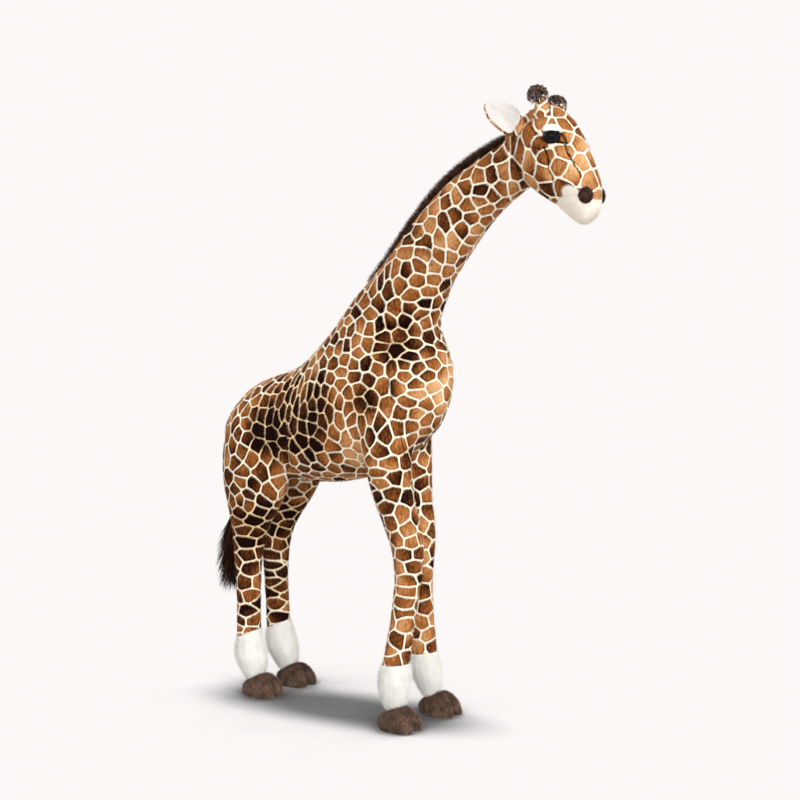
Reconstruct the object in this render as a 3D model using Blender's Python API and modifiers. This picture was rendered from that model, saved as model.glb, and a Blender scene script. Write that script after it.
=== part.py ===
"""A tall stuffed giraffe standing on a bent steel frame, modelled piece by piece.

Lengths are in metres. +Z is up and the giraffe faces -Y, so its right side is at -X.
Y is measured from the middle of the four hooves, and one empty then moves the whole toy
so that the world origin lies under the middle of its length.
Each stuffed section is one closed form: the sewn cover and its filling together.
"""

import math
from typing import NamedTuple

import bmesh
import bpy
from mathutils import Matrix, Vector

# Clearances
SEAM_GAP = 0.0003
CUT_OVERRUN = 0.02
MERGE_DISTANCE = 0.0001

# Smoothness of the forms
BODY_SIDES = 12
LIMB_SIDES = 8
FORM_LEVELS = 1
TURNED_STEPS = 16
SEAM_BALL_STEPS = 24
WIRE_RESOLUTION = 1

# Overall stance, measured from the middle of the four hooves
MUZZLE_REACH = 0.686
TAIL_REACH = 0.406
FRONT_STANCE = 0.220
REAR_STANCE = 0.220
FRONT_TRACK = 0.078
REAR_TRACK = 0.062

# Torso
CHEST_REACH = 0.300
TORSO_LENGTH = 0.670
TORSO_WIDTH = 0.250
TORSO_DEPTH = 0.440
BELLY_HEIGHT = 0.540

# Neck
NECK_LENGTH = 0.475
NECK_RISE = 0.375
NECK_GIRTH = 0.170
NECK_BASE_DEPTH = 0.222
NECK_BASE_TILT = math.radians(20)
NECK_SEAM_RISE_SHARE = 0.925

# Head
HEAD_LENGTH = 0.230
HEAD_HEIGHT = 0.262
HEAD_WIDTH = 0.128
CHIN_HEIGHT = 1.138
MUZZLE_HEIGHT = 1.163
MUZZLE_BACK = 0.052
MUZZLE_RADIUS = 0.053

# Legs
FRONT_LEG_HEIGHT = 0.800
FRONT_LEG_SWING = 0.070
FRONT_LEG_GIRTH = 0.150
REAR_LEG_HEIGHT = 0.740
REAR_LEG_SWING = 0.055
REAR_LEG_GIRTH = 0.200
FRONT_LEFT_LEAN = 0.030
FRONT_LEFT_BOW = 0.018
REAR_LEFT_LEAN = 0.000
REAR_LEFT_BOW = 0.020
CUFF_SEAM_TILT = math.radians(8)

# Hooves
HOOF_LENGTH = 0.102
HOOF_WIDTH = 0.084
HOOF_HEIGHT = 0.052
HOOF_TOP_SLOPE = 0.014
SOLE_TRIM = 0.0005

# Ears
EAR_LENGTH = 0.081
EAR_WIDTH = 0.060
EAR_SHELL_THICKNESS = 0.006
EAR_LINING_THICKNESS = 0.004
EAR_CUP_DEPTH = 0.010
EAR_ROOT_RADIUS = 0.0065
EAR_ROOT_OUT = 0.0522
EAR_ROOT_BACK = 0.180
EAR_ROOT_HEIGHT = 1.350
EAR_ROOT_TWIST = math.radians(45)
EAR_TWIST_END_SHARE = 0.35
EAR_DIRECTION_SHARES = (0.40, 0.72, 0.56)
EAR_FACING_SHARES = (0.62, -0.70, 0.35)

# Horns
HORN_SPREAD = 0.034
HORN_LEAN = 0.012
LEFT_HORN_DROP = 0.012
LEFT_HORN_SET_BACK = 0.010
HORN_BACK = 0.124
HORN_FOOT_HEIGHT = 1.350
HORN_LENGTH = 0.058
HORN_RADIUS = 0.0125
HORN_TUFT_RADIUS = 0.0205
HORN_TUFT_HEIGHT = 0.032

# Mane
MANE_HEIGHT = 0.020
MANE_WIDTH = 0.034
MANE_SINK = 0.008

# Tail
TAIL_ROOT_HEIGHT = 0.645
TAIL_ROOT_STAND_OFF = 0.006
TAIL_ROOT_RADIUS = 0.0150
TAIL_STALK_RADIUS = 0.0095
TAIL_STALK_LENGTH = 0.210
TAIL_TUFT_LENGTH = 0.200
TAIL_TUFT_RADIUS = 0.021

# Eyes
EYE_RADIUS = 0.0190
EYE_DOME_HEIGHT = 0.0090
EYE_SHANK_RADIUS = 0.0025
EYE_SHANK_LENGTH = 0.020
EYE_WASHER_RADIUS = 0.0090
EYE_WASHER_THICKNESS = 0.0020
EYE_WASHER_DEPTH = 0.014
EYE_OUT = 0.0525
EYE_BACK = 0.090
EYE_HEIGHT = 1.318
EYE_FACING_SHARES = (1.00, -0.46, -0.05)
EYELID_RADIUS = 0.0200
EYELID_RISE = 0.0130

# Nostril patches
NOSTRIL_OUT = 0.030
NOSTRIL_BACK = 0.021
NOSTRIL_HEIGHT = 1.196
NOSTRIL_LENGTH = 0.036
NOSTRIL_WIDTH = 0.031
NOSTRIL_THICKNESS = 0.014
NOSTRIL_FACING_SHARES = (1.00, -0.50, 0.00)

# Steel frame
HOOP_RADIUS = 0.0070
HOOP_TOE_RISE = 0.020
SPINE_RADIUS = 0.0090
NECK_ROD_RADIUS = 0.0065
NECK_ROD_PLUG = 0.080
ROD_SLIP_GAP = 0.0008
FRAME_POINT_SPACING = 0.048
FRONT_BAR_HEIGHT = 0.815
REAR_BAR_HEIGHT = 0.675
FOOT_PLATE_HEIGHT = 0.008
FOOT_PLATE_THICKNESS = 0.004
FOOT_PLATE_RADIUS = 0.024
HEAD_PLATE_RADIUS = 0.026
HEAD_PLATE_THICKNESS = 0.004
CLAMP_WIDTH = 0.034
CLAMP_LENGTH = 0.030
CLAMP_WALL = 0.005
CLAMP_WEB = 0.003
SPINE_TAIL_LENGTH = 0.030

# Each torso row gives the spine point and the belly point as shares of the torso's length
# behind the chest and of its depth above the belly, then the width there.
TORSO_PROFILE_SHARES = (
    ((0.448, 0.875), (0.022, 0.730), 0.78),
    ((0.507, 0.785), (0.000, 0.568), 0.88),
    ((0.560, 0.710), (0.042, 0.340), 0.96),
    ((0.612, 0.640), (0.188, 0.140), 1.00),
    ((0.672, 0.600), (0.373, 0.020), 1.00),
    ((0.746, 0.568), (0.552, -0.010), 1.00),
    ((0.820, 0.536), (0.687, 0.000), 0.95),
    ((0.893, 0.470), (0.800, 0.020), 0.84),
    ((0.950, 0.370), (0.890, 0.060), 0.68),
    ((1.004, 0.270), (0.985, 0.150), 0.34),
)

# Each neck row gives its centre as shares of the neck's length and rise from its base, its
# depth and width as shares of the girth, and the slope of its direction as a share of a
# right angle.
NECK_SHARES = (
    (0.105, 0.165, 0.96, 0.92, 0.60),
    (0.197, 0.341, 0.86, 0.84, 0.55),
    (0.300, 0.480, 0.85, 0.79, 0.53),
    (0.417, 0.643, 0.78, 0.72, 0.47),
    (0.566, 0.771, 0.68, 0.64, 0.38),
    (0.710, 0.875, 0.64, 0.60, 0.33),
    (0.830, 0.950, 0.62, 0.58, 0.30),
)

# Each head row gives the face point and the jaw point as shares of the head's length behind
# the muzzle tip and of its height above the chin, then the width there.
HEAD_PROFILE_SHARES = (
    ((0.610, 0.985), (0.860, 0.925), 0.52),
    ((0.460, 0.940), (0.985, 0.800), 0.82),
    ((0.335, 0.840), (1.000, 0.600), 0.98),
    ((0.200, 0.680), (0.850, 0.380), 0.98),
    ((0.120, 0.520), (0.620, 0.240), 0.82),
    ((0.050, 0.380), (0.430, 0.150), 0.66),
    ((0.010, 0.260), (0.310, 0.060), 0.58),
    ((0.030, 0.130), (0.220, 0.000), 0.48),
    ((0.090, 0.040), (0.165, 0.000), 0.28),
)

# Each leg row gives the height, the way back from the hoof's centre as a share of the swing,
# the way out from the middle as a share of the hoof's, and depth and width of the girth.
FRONT_LEG_SHARES = (
    (1.000, 1.00, 0.80, 0.64, 0.46),
    (0.925, 0.90, 0.80, 0.84, 0.62),
    (0.850, 0.80, 0.80, 0.86, 0.70),
    (0.775, 0.70, 0.80, 0.78, 0.70),
    (0.700, 0.58, 0.79, 0.67, 0.63),
    (0.625, 0.38, 0.71, 0.58, 0.56),
    (0.550, 0.10, 0.59, 0.56, 0.54),
    (0.480, 0.00, 0.52, 0.45, 0.44),
    (0.410, 0.07, 0.54, 0.39, 0.37),
    (0.300, 0.18, 0.66, 0.350, 0.350),
    (0.181, 0.33, 0.81, 0.42, 0.41),
)
FRONT_CUFF_SHARES = (
    (0.181, 0.33, 0.81, 0.42, 0.41),
    (0.155, 0.35, 0.84, 0.48, 0.47),
    (0.115, 0.33, 0.89, 0.48, 0.46),
    (0.080, 0.30, 0.93, 0.41, 0.40),
    (0.045, 0.20, 0.96, 0.36, 0.36),
)
REAR_LEG_SHARES = (
    (1.000, 0.10, 1.02, 0.70, 0.36),
    (0.905, 0.00, 1.12, 0.98, 0.50),
    (0.810, 0.08, 1.17, 1.06, 0.56),
    (0.725, 0.16, 1.15, 0.98, 0.56),
    (0.650, 0.34, 1.08, 0.80, 0.52),
    (0.580, 0.60, 1.02, 0.51, 0.44),
    (0.510, 0.84, 0.98, 0.375, 0.35),
    (0.410, 0.87, 0.97, 0.305, 0.305),
    (0.310, 0.85, 0.97, 0.280, 0.280),
    (0.190, 0.85, 0.98, 0.300, 0.290),
)
REAR_CUFF_SHARES = (
    (0.190, 0.85, 0.98, 0.300, 0.290),
    (0.160, 0.82, 0.98, 0.350, 0.330),
    (0.115, 0.70, 0.99, 0.400, 0.375),
    (0.070, 0.50, 1.00, 0.320, 0.300),
    (0.045, 0.38, 1.00, 0.290, 0.280),
)

# The sole's outline from the cleft round the outer side to the heel, as shares of half the
# hoof's width and length, and then the walls above it: height and size.
SOLE_OUTLINE_SHARES = (
    (0.00, -0.66),
    (0.34, -1.00),
    (0.84, -0.80),
    (1.02, -0.15),
    (0.96, 0.52),
    (0.56, 0.94),
    (0.00, 1.00),
)
HOOF_WALL_SHARES = ((0.00, 1.00), (0.42, 1.04), (0.82, 0.82), (1.00, 0.42))
HOOF_WALL_SET_BACK_SHARE = 0.14
SOLE_CREASE_SHARE = 0.75

# Each ear row gives the way out along the ear, and its width and thickness there.
EAR_SHELL_SHARES = (
    (-0.055, 0.30, 0.90),
    (0.000, 0.46, 2.50),
    (0.090, 0.72, 1.25),
    (0.300, 1.04, 1.00),
    (0.620, 1.00, 1.00),
    (0.880, 0.50, 0.90),
    (1.000, 0.12, 0.60),
)
EAR_LINING_SHARES = (
    (0.120, 0.54, 0.50),
    (0.300, 0.88, 1.00),
    (0.600, 0.84, 1.00),
    (0.830, 0.42, 0.90),
    (0.910, 0.10, 0.50),
)

# Each horn row gives the way up the stalk and its radius, and likewise for the tuft.
HORN_SHARES = ((0.00, 1.20), (0.40, 1.10), (0.88, 0.95), (1.00, 0.55))
HORN_TUFT_SHARES = ((-0.60, 0.60), (-0.25, 1.06), (0.25, 1.00), (0.55, 0.35))

# Each mane row gives the way along the neck's nape and the height and width of the pile.
MANE_SHARES = (
    (0.04, 0.34, 0.34),
    (0.14, 0.62, 0.62),
    (0.30, 0.80, 0.80),
    (0.48, 0.90, 0.90),
    (0.66, 0.95, 1.00),
    (0.82, 0.90, 0.95),
    (0.95, 0.75, 0.85),
    (1.03, 0.40, 0.50),
)

# Each tail row gives the way down the stalk and its radius, and likewise for the tuft.
TAIL_ROOT_SHARES = ((0.90, 0.34), (0.60, 0.74), (0.00, 0.96), (-0.60, 0.72))
TAIL_STALK_SHARES = ((0.16, 1.08), (0.60, 1.00), (1.00, 0.90))
TAIL_TUFT_SHARES = (
    (0.00, 0.04),
    (0.03, 0.40),
    (0.13, 0.86),
    (0.45, 1.04),
    (0.78, 0.80),
    (1.00, 0.18),
)

# The heights of a pad's cage loops, as shares of a right angle from its middle.
PAD_LEVEL_SHARES = (-0.78, -0.26, 0.26, 0.78)

# Colours and finishes
PATTERNED_PLUSH = ((0.32, 0.13, 0.05, 1.0), 0.95, 0.0)
WHITE_PLUSH = ((0.86, 0.84, 0.79, 1.0), 0.95, 0.0)
CREAM_PLUSH = ((0.84, 0.74, 0.60, 1.0), 0.95, 0.0)
HOOF_PLUSH = ((0.09, 0.04, 0.03, 1.0), 0.95, 0.0)
DARK_PILE = ((0.05, 0.025, 0.018, 1.0), 0.90, 0.0)
EYE_PLASTIC = ((0.01, 0.01, 0.015, 1.0), 0.08, 0.0)
WASHER_PLASTIC = ((0.80, 0.80, 0.78, 1.0), 0.45, 0.0)
FRAME_STEEL = ((0.45, 0.46, 0.48, 1.0), 0.35, 1.0)
PLATE_BOARD = ((0.42, 0.30, 0.18, 1.0), 0.75, 0.0)

RIGHT = -1
LEFT = 1
SIDES = (("right", RIGHT), ("left", LEFT))
UP = Vector((0, 0, 1))
OUT = Vector((1, 0, 0))
BACK = Vector((0, 1, 0))


class Workshop(NamedTuple):
    """The collections and the empty that every piece is made in."""

    parts: bpy.types.Collection
    cutters: bpy.types.Collection
    stand: bpy.types.Object


def clear_scene():
    for item in list(bpy.data.objects):
        bpy.data.objects.remove(item, do_unlink=True)


def set_up():
    parts = bpy.data.collections.new("plush_giraffe")
    cutters = bpy.data.collections.new("cutters")
    for group in (parts, cutters):
        bpy.context.scene.collection.children.link(group)
    stand = bpy.data.objects.new("stand", None)
    stand.location = BACK * (MUZZLE_REACH - TAIL_REACH) / 2
    parts.objects.link(stand)
    bpy.context.view_layer.update()
    return Workshop(parts, cutters, stand)


def finish(name, look):
    colour, roughness, metallic = look
    material = bpy.data.materials.new(name + "_finish")
    material.use_nodes = True
    shader = material.node_tree.nodes["Principled BSDF"]
    shader.inputs["Base Color"].default_value = colour
    shader.inputs["Roughness"].default_value = roughness
    shader.inputs["Metallic"].default_value = metallic
    return material


def add_part(shop, name, mesh, look, parent=None, place=None):
    """Adds a sub-part. Its mesh is in the space of `place`, under `parent` or the stand."""
    part = bpy.data.objects.new(name, mesh)
    shop.parts.objects.link(part)
    part.parent = parent or shop.stand
    if place is not None:
        part.matrix_local = place
    mesh.materials.append(finish(name, look))
    mesh.shade_smooth()
    return part


def add_cutter(shop, name, mesh, place=None, parent=None):
    cutter = bpy.data.objects.new(name, mesh)
    shop.cutters.objects.link(cutter)
    cutter.parent = parent or shop.stand
    if place is not None:
        cutter.matrix_local = place
    cutter.hide_render = True
    cutter.display_type = "WIRE"
    return cutter


def soften(part):
    """Rounds the cage, and splits its faces so that a swollen copy keeps the same folds."""
    smoothing = part.modifiers.new("soft form", "SUBSURF")
    smoothing.levels = FORM_LEVELS
    smoothing.render_levels = FORM_LEVELS
    facets = part.modifiers.new("facets", "TRIANGULATE")
    facets.quad_method = "FIXED"


def swollen(shop, part, gap=SEAM_GAP):
    """A copy of an uncut form, larger by the gap all round, to cut its neighbours with."""
    copy = add_cutter(shop, part.name + "_swollen", part.data.copy(), part.matrix_basis, part.parent)
    if any(modifier.type == "SUBSURF" for modifier in part.modifiers):
        soften(copy)
    push = copy.modifiers.new("gap", "DISPLACE")
    push.mid_level = 0
    push.strength = gap
    return copy


def cut(part, *cutters):
    for cutter in cutters:
        boolean = part.modifiers.new("cut by " + cutter.name, "BOOLEAN")
        boolean.operation = "DIFFERENCE"
        boolean.object = cutter


def cut_in_one(shop, part, *cutters):
    """Takes all of the cutters away from a part in one go."""
    tools = bpy.data.collections.new(part.name + "_cutters")
    shop.cutters.children.link(tools)
    for cutter in cutters:
        tools.objects.link(cutter)
    boolean = part.modifiers.new("cut", "BOOLEAN")
    boolean.operation = "DIFFERENCE"
    boolean.operand_type = "COLLECTION"
    boolean.collection = tools


def keep(part, cutter):
    """Keeps only what lies inside the cutter."""
    boolean = part.modifiers.new("kept inside " + cutter.name, "BOOLEAN")
    boolean.operation = "INTERSECT"
    boolean.object = cutter


def cage_swell(sides):
    """How much larger a round cage is than the smooth form that it gives."""
    return 3 / (2 + math.cos(math.tau / sides))


def oval(centre, across, rise, sides):
    """A ring of cage points round a centre, for a smooth oval with these half axes."""
    swell = cage_swell(sides)
    turns = [math.tau * step / sides for step in range(sides)]
    return [centre + (across * math.cos(t) + rise * math.sin(t)) * swell for t in turns]


def loft(name, loops, sharp_start=0.0, sharp_end=0.0):
    """A closed cage through loops of points. An end can be creased so that it stays flat."""
    form = bmesh.new()
    crease = form.edges.layers.float.new("crease_edge")
    rows = [[form.verts.new(point) for point in loop] for loop in loops]
    for row, following in zip(rows, rows[1:]):
        for index, vertex in enumerate(row):
            after = (index + 1) % len(row)
            form.faces.new((vertex, row[after], following[after], following[index]))
    for row, sharpness in ((rows[0], sharp_start), (rows[-1], sharp_end)):
        cap = form.faces.new(row)
        for edge in cap.edges:
            edge[crease] = sharpness
    bmesh.ops.recalc_face_normals(form, faces=form.faces)
    mesh = bpy.data.meshes.new(name)
    form.to_mesh(mesh)
    form.free()
    return mesh


def aimed(origin, out, up):
    """A frame at origin whose Z runs along out and whose Y lies nearest to up."""
    z_axis = out.normalized()
    x_axis = up.cross(z_axis).normalized()
    y_axis = z_axis.cross(x_axis)
    turn = Matrix((x_axis, y_axis, z_axis)).transposed()
    return Matrix.Translation(origin) @ turn.to_4x4()


def disc(name, radius, thickness, bore=0):
    """A flat disc under the XY plane of its frame, bored if asked."""
    if bore:
        profile = [(bore, 0), (radius, 0), (radius, -thickness), (bore, -thickness), (bore, 0)]
    else:
        profile = [(0, 0), (radius, 0), (radius, -thickness), (0, -thickness)]
    return turned(name, profile)


def turned(name, profile):
    """A mesh turned about Z from (radius, height) points that run down the outer side."""
    outline = bpy.data.meshes.new(name)
    points = [(radius, 0, height) for radius, height in profile]
    outline.from_pydata(points, [(i, i + 1) for i in range(len(points) - 1)], [])
    holder = bpy.data.objects.new(name + "_turning", outline)
    bpy.context.scene.collection.objects.link(holder)
    screw = holder.modifiers.new("turned", "SCREW")
    screw.steps = TURNED_STEPS
    screw.render_steps = TURNED_STEPS
    screw.use_merge_vertices = True
    screw.merge_threshold = MERGE_DISTANCE
    bpy.context.view_layer.update()
    evaluated = holder.evaluated_get(bpy.context.evaluated_depsgraph_get())
    mesh = bpy.data.meshes.new_from_object(evaluated)
    bpy.data.objects.remove(holder, do_unlink=True)
    shape = bmesh.new()
    shape.from_mesh(mesh)
    bmesh.ops.remove_doubles(shape, verts=shape.verts, dist=MERGE_DISTANCE)
    bmesh.ops.recalc_face_normals(shape, faces=shape.faces)
    shape.to_mesh(mesh)
    shape.free()
    return mesh


def smooth_route(points, spacing):
    """Points about a spacing apart along a smooth curve through the given ones."""
    route = []
    padded = [points[0] * 2 - points[1], *points, points[-1] * 2 - points[-2]]
    for before, start, end, after in zip(padded, padded[1:], padded[2:], padded[3:]):
        count = max(1, round((end - start).length / spacing))
        for step in range(count):
            t = step / count
            route.append(
                0.5
                * (
                    start * 2
                    + (end - before) * t
                    + (before * 2 - start * 5 + end * 4 - after) * t * t
                    + (start * 3 - before - end * 3 + after) * t**3
                )
            )
    route.append(points[-1])
    return route


def wire(name, route, radius):
    """A round bar along a route, as a closed mesh."""
    curve = bpy.data.curves.new(name, "CURVE")
    curve.dimensions = "3D"
    curve.bevel_depth = radius
    curve.bevel_resolution = WIRE_RESOLUTION
    curve.use_fill_caps = True
    spline = curve.splines.new("POLY")
    spline.points.add(len(route) - 1)
    for point, place in zip(spline.points, route):
        point.co = (*place, 1)
    holder = bpy.data.objects.new(name + "_curve", curve)
    bpy.context.scene.collection.objects.link(holder)
    bpy.context.view_layer.update()
    evaluated = holder.evaluated_get(bpy.context.evaluated_depsgraph_get())
    mesh = bpy.data.meshes.new_from_object(evaluated)
    bpy.data.objects.remove(holder, do_unlink=True)
    shape = bmesh.new()
    shape.from_mesh(mesh)
    bmesh.ops.remove_doubles(shape, verts=shape.verts, dist=MERGE_DISTANCE)
    bmesh.ops.recalc_face_normals(shape, faces=shape.faces)
    bmesh.ops.triangulate(shape, faces=shape.faces, quad_method="FIXED")
    shape.to_mesh(mesh)
    shape.free()
    mesh.materials.clear()
    return mesh


def lengthened(route, extra):
    """A route with both ends run on straight."""
    first = route[0] + (route[0] - route[1]).normalized() * extra
    last = route[-1] + (route[-1] - route[-2]).normalized() * extra
    return [first, *route[1:-1], last]


def profile_loops(rows, front, foot, length, height, width, sides):
    """Oval loops between an upper and a lower profile point, given as shares of a size."""
    loops = []
    for upper, lower, width_share in rows:
        ends = [
            Vector((0, -front + back * length, foot + rise * height)) for back, rise in (upper, lower)
        ]
        centre = (ends[0] + ends[1]) / 2
        loops.append(oval(centre, OUT * width * width_share / 2, (ends[0] - ends[1]) / 2, sides))
    return loops


def neck_base():
    """The middle of the flat seam between torso and neck."""
    return Vector((0, -CHEST_REACH / 2, BELLY_HEIGHT + TORSO_DEPTH * NECK_SEAM_RISE_SHARE))


def neck_seam(offset):
    """The loop at the neck's seam, moved along the neck by an offset."""
    rise = Vector((0, math.cos(NECK_BASE_TILT), math.sin(NECK_BASE_TILT)))
    along = Vector((0, -rise.z, rise.y))
    return oval(
        neck_base() + along * offset,
        OUT * NECK_GIRTH / 2,
        rise * NECK_BASE_DEPTH / 2,
        BODY_SIDES,
    )


def torso_mesh():
    rows = TORSO_PROFILE_SHARES
    loops = profile_loops(
        rows, CHEST_REACH, BELLY_HEIGHT, TORSO_LENGTH, TORSO_DEPTH, TORSO_WIDTH, BODY_SIDES
    )
    return loft("torso", [neck_seam(-SEAM_GAP / 2), *loops], sharp_start=1.0)


def neck_centres():
    """Centres and directions of the neck's rows, from the base up to the skull."""
    base = neck_base()
    centres = []
    for ahead, rise, depth, width, slope in NECK_SHARES:
        centre = base + Vector((0, -ahead * NECK_LENGTH, rise * NECK_RISE))
        angle = slope * math.pi / 2
        across = Vector((0, math.sin(angle), math.cos(angle)))
        centres.append((centre, across, depth * NECK_GIRTH / 2, width * NECK_GIRTH / 2))
    return centres


def neck_mesh():
    loops = [neck_seam(SEAM_GAP / 2)]
    for centre, across, half_depth, half_width in neck_centres():
        loops.append(oval(centre, OUT * half_width, across * half_depth, BODY_SIDES))
    return loft("neck", loops, sharp_start=1.0)


def head_mesh(name):
    return loft(
        name,
        profile_loops(
            HEAD_PROFILE_SHARES,
            MUZZLE_REACH,
            CHIN_HEIGHT,
            HEAD_LENGTH,
            HEAD_HEIGHT,
            HEAD_WIDTH,
            BODY_SIDES,
        ),
    )


class Leg(NamedTuple):
    """The sizes of one leg: which side, where its hoof stands and how it is shaped."""

    name: str
    side: int
    hoof: Vector
    height: float
    swing: float
    girth: float
    lean: float
    bow: float
    leg_rows: tuple
    cuff_rows: tuple

    def centre(self, row):
        height_share, back_share, out_share = row[:3]
        bow = self.lean * height_share + self.bow * math.sin(math.pi * height_share)
        return Vector(
            (
                self.hoof.x * out_share,
                self.hoof.y + self.swing * back_share + bow,
                self.height * height_share,
            )
        )

    def loop(self, row, tilt=0.0, offset=0.0):
        depth_share, width_share = row[3:]
        rise = Vector((0, math.cos(tilt), -math.sin(tilt)))
        along = Vector((0, math.sin(tilt), math.cos(tilt)))
        return oval(
            self.centre(row) + along * offset,
            OUT * self.girth * width_share / 2,
            rise * self.girth * depth_share / 2,
            LIMB_SIDES,
        )


def legs():
    for label, side in SIDES:
        yield Leg(
            "front_" + label,
            side,
            Vector((side * FRONT_TRACK, -FRONT_STANCE, 0)),
            FRONT_LEG_HEIGHT,
            FRONT_LEG_SWING,
            FRONT_LEG_GIRTH,
            FRONT_LEFT_LEAN if side == LEFT else 0,
            FRONT_LEFT_BOW if side == LEFT else 0,
            FRONT_LEG_SHARES,
            FRONT_CUFF_SHARES,
        )
        yield Leg(
            "rear_" + label,
            side,
            Vector((side * REAR_TRACK, REAR_STANCE, 0)),
            REAR_LEG_HEIGHT,
            REAR_LEG_SWING,
            REAR_LEG_GIRTH,
            REAR_LEFT_LEAN if side == LEFT else 0,
            REAR_LEFT_BOW if side == LEFT else 0,
            REAR_LEG_SHARES,
            REAR_CUFF_SHARES,
        )


def leg_mesh(leg):
    loops = [leg.loop(row) for row in leg.leg_rows[:-1]]
    loops.append(leg.loop(leg.leg_rows[-1], CUFF_SEAM_TILT, SEAM_GAP / 2))
    return loft(leg.name + "_leg", loops, sharp_end=1.0)


def cuff_mesh(leg):
    loops = [leg.loop(leg.cuff_rows[0], CUFF_SEAM_TILT, -SEAM_GAP / 2)]
    loops += [leg.loop(row) for row in leg.cuff_rows[1:]]
    return loft(leg.name + "_cuff", loops, sharp_start=1.0)


def hoof_loop(leg, height_share, size_share):
    """One level of the hoof's wall, drawn in and set back as it rises to the front."""
    outline = list(SOLE_OUTLINE_SHARES)
    outline += [(-across, along) for across, along in reversed(SOLE_OUTLINE_SHARES[1:-1])]
    points = []
    for across, along in outline:
        back = along * size_share + height_share * HOOF_WALL_SET_BACK_SHARE
        lift = HOOF_HEIGHT * height_share - HOOF_TOP_SLOPE * height_share * along
        points.append(
            leg.hoof
            + OUT * across * size_share * HOOF_WIDTH / 2
            + BACK * back * HOOF_LENGTH / 2
            + UP * (lift - SOLE_TRIM * (1 - height_share))
        )
    return points


def hoof_mesh(leg):
    loops = [hoof_loop(leg, height, size) for height, size in HOOF_WALL_SHARES]
    return loft(leg.name + "_hoof", loops, sharp_start=SOLE_CREASE_SHARE)


def box_mesh(name, size):
    """A box centred on the origin of its frame."""
    box = bmesh.new()
    bmesh.ops.create_cube(box, size=1, matrix=Matrix.Diagonal((*size, 1)))
    mesh = bpy.data.meshes.new(name)
    box.to_mesh(mesh)
    box.free()
    return mesh


def ball_mesh(name, radius):
    ball = bmesh.new()
    bmesh.ops.create_uvsphere(
        ball, u_segments=SEAM_BALL_STEPS, v_segments=SEAM_BALL_STEPS // 2, radius=radius
    )
    mesh = bpy.data.meshes.new(name)
    ball.to_mesh(mesh)
    ball.free()
    return mesh


def egg_mesh(name, half_sizes):
    """A stuffed pad: a cage of ovals with these half sizes along X, Y and Z."""
    loops = []
    for level_share in PAD_LEVEL_SHARES:
        level = math.pi / 2 * level_share
        scale = math.cos(level)
        loops.append(
            oval(
                UP * half_sizes[2] * math.sin(level),
                OUT * half_sizes[0] * scale,
                BACK * half_sizes[1] * scale,
                LIMB_SIDES,
            )
        )
    return loft(name, loops)


def make_frame(shop):
    """The steel frame and what each stuffed section is cut by for it."""
    made = {}
    for pair, bar_height in (("front", FRONT_BAR_HEIGHT), ("rear", REAR_BAR_HEIGHT)):
        halves = {}
        for leg in legs():
            if leg.name.startswith(pair):
                foot = leg.hoof + UP * (FOOT_PLATE_HEIGHT + SEAM_GAP)
                cuff = [leg.centre(row) for row in leg.cuff_rows[1:-1]]
                shin = [leg.centre(row) for row in leg.leg_rows[1:]]
                toe = [foot, foot + UP * HOOP_TOE_RISE]
                halves[leg.side] = [*toe, *reversed(cuff), *reversed(shin)]
        top = Vector((0, sum(half[-1].y for half in halves.values()) / 2, bar_height))
        stations = [*halves[RIGHT], top, *reversed(halves[LEFT])]
        route = smooth_route(stations, FRAME_POINT_SPACING)
        hoop = add_part(shop, pair + "_leg_hoop", wire(pair, route, HOOP_RADIUS), FRAME_STEEL)
        made[pair] = hoop
        made[pair + "_top"] = top
        swell = wire(pair, lengthened(route, SEAM_GAP), HOOP_RADIUS + SEAM_GAP)
        made[pair + "_channel"] = add_cutter(shop, pair + "_hoop_channel", swell)
    return made


def make_spine(shop, frame):
    """The spine tube, the neck rod that plugs into it, and their clamps and head plate."""
    lift = UP * (HOOP_RADIUS + SPINE_RADIUS + CLAMP_WEB)
    rear = frame["rear_top"] + lift
    front = frame["front_top"] + lift
    run = (front - rear).normalized()
    rows = neck_centres()
    stations = [rear - run * SPINE_TAIL_LENGTH, rear, front, neck_base()]
    stations += [centre for centre, *_ in rows[:-1]]
    skull = rows[-1][0]
    stations.append(skull)
    route = smooth_route(stations, FRAME_POINT_SPACING)
    base_index = min(range(len(route)), key=lambda i: (route[i] - neck_base()).length)
    socket_end = base_index + 2
    plug_start = socket_end - max(1, round(NECK_ROD_PLUG / FRAME_POINT_SPACING))

    spine_route = route[: socket_end + 1]
    rod_route = route[plug_start:]
    spine = add_part(shop, "spine_tube", wire("spine", spine_route, SPINE_RADIUS), FRAME_STEEL)
    bore = wire("bore", lengthened(spine_route, SPINE_RADIUS), NECK_ROD_RADIUS + ROD_SLIP_GAP)
    cut(spine, add_cutter(shop, "spine_bore", bore))
    add_part(shop, "neck_rod", wire("rod", rod_route, NECK_ROD_RADIUS), FRAME_STEEL)

    spine_channel = wire("spine", lengthened(spine_route, SEAM_GAP), SPINE_RADIUS + SEAM_GAP)
    rod_channel = wire("rod", lengthened(rod_route, SEAM_GAP), NECK_ROD_RADIUS + SEAM_GAP)
    frame["spine_channel"] = add_cutter(shop, "spine_channel", spine_channel)
    frame["rod_channel"] = add_cutter(shop, "rod_channel", rod_channel)

    end_run = route[-1] - route[-2]
    seat = aimed(route[-1] + end_run.normalized() * (HEAD_PLATE_THICKNESS + SEAM_GAP), end_run, OUT)
    plate = disc("head_plate", HEAD_PLATE_RADIUS, HEAD_PLATE_THICKNESS)
    plate_part = add_part(shop, "head_plate", plate, PLATE_BOARD, place=seat)
    frame["head_plate_seat"] = swollen(shop, plate_part)

    for pair in ("rear", "front"):
        make_clamp(shop, frame, pair, frame[pair + "_top"], run)


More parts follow.
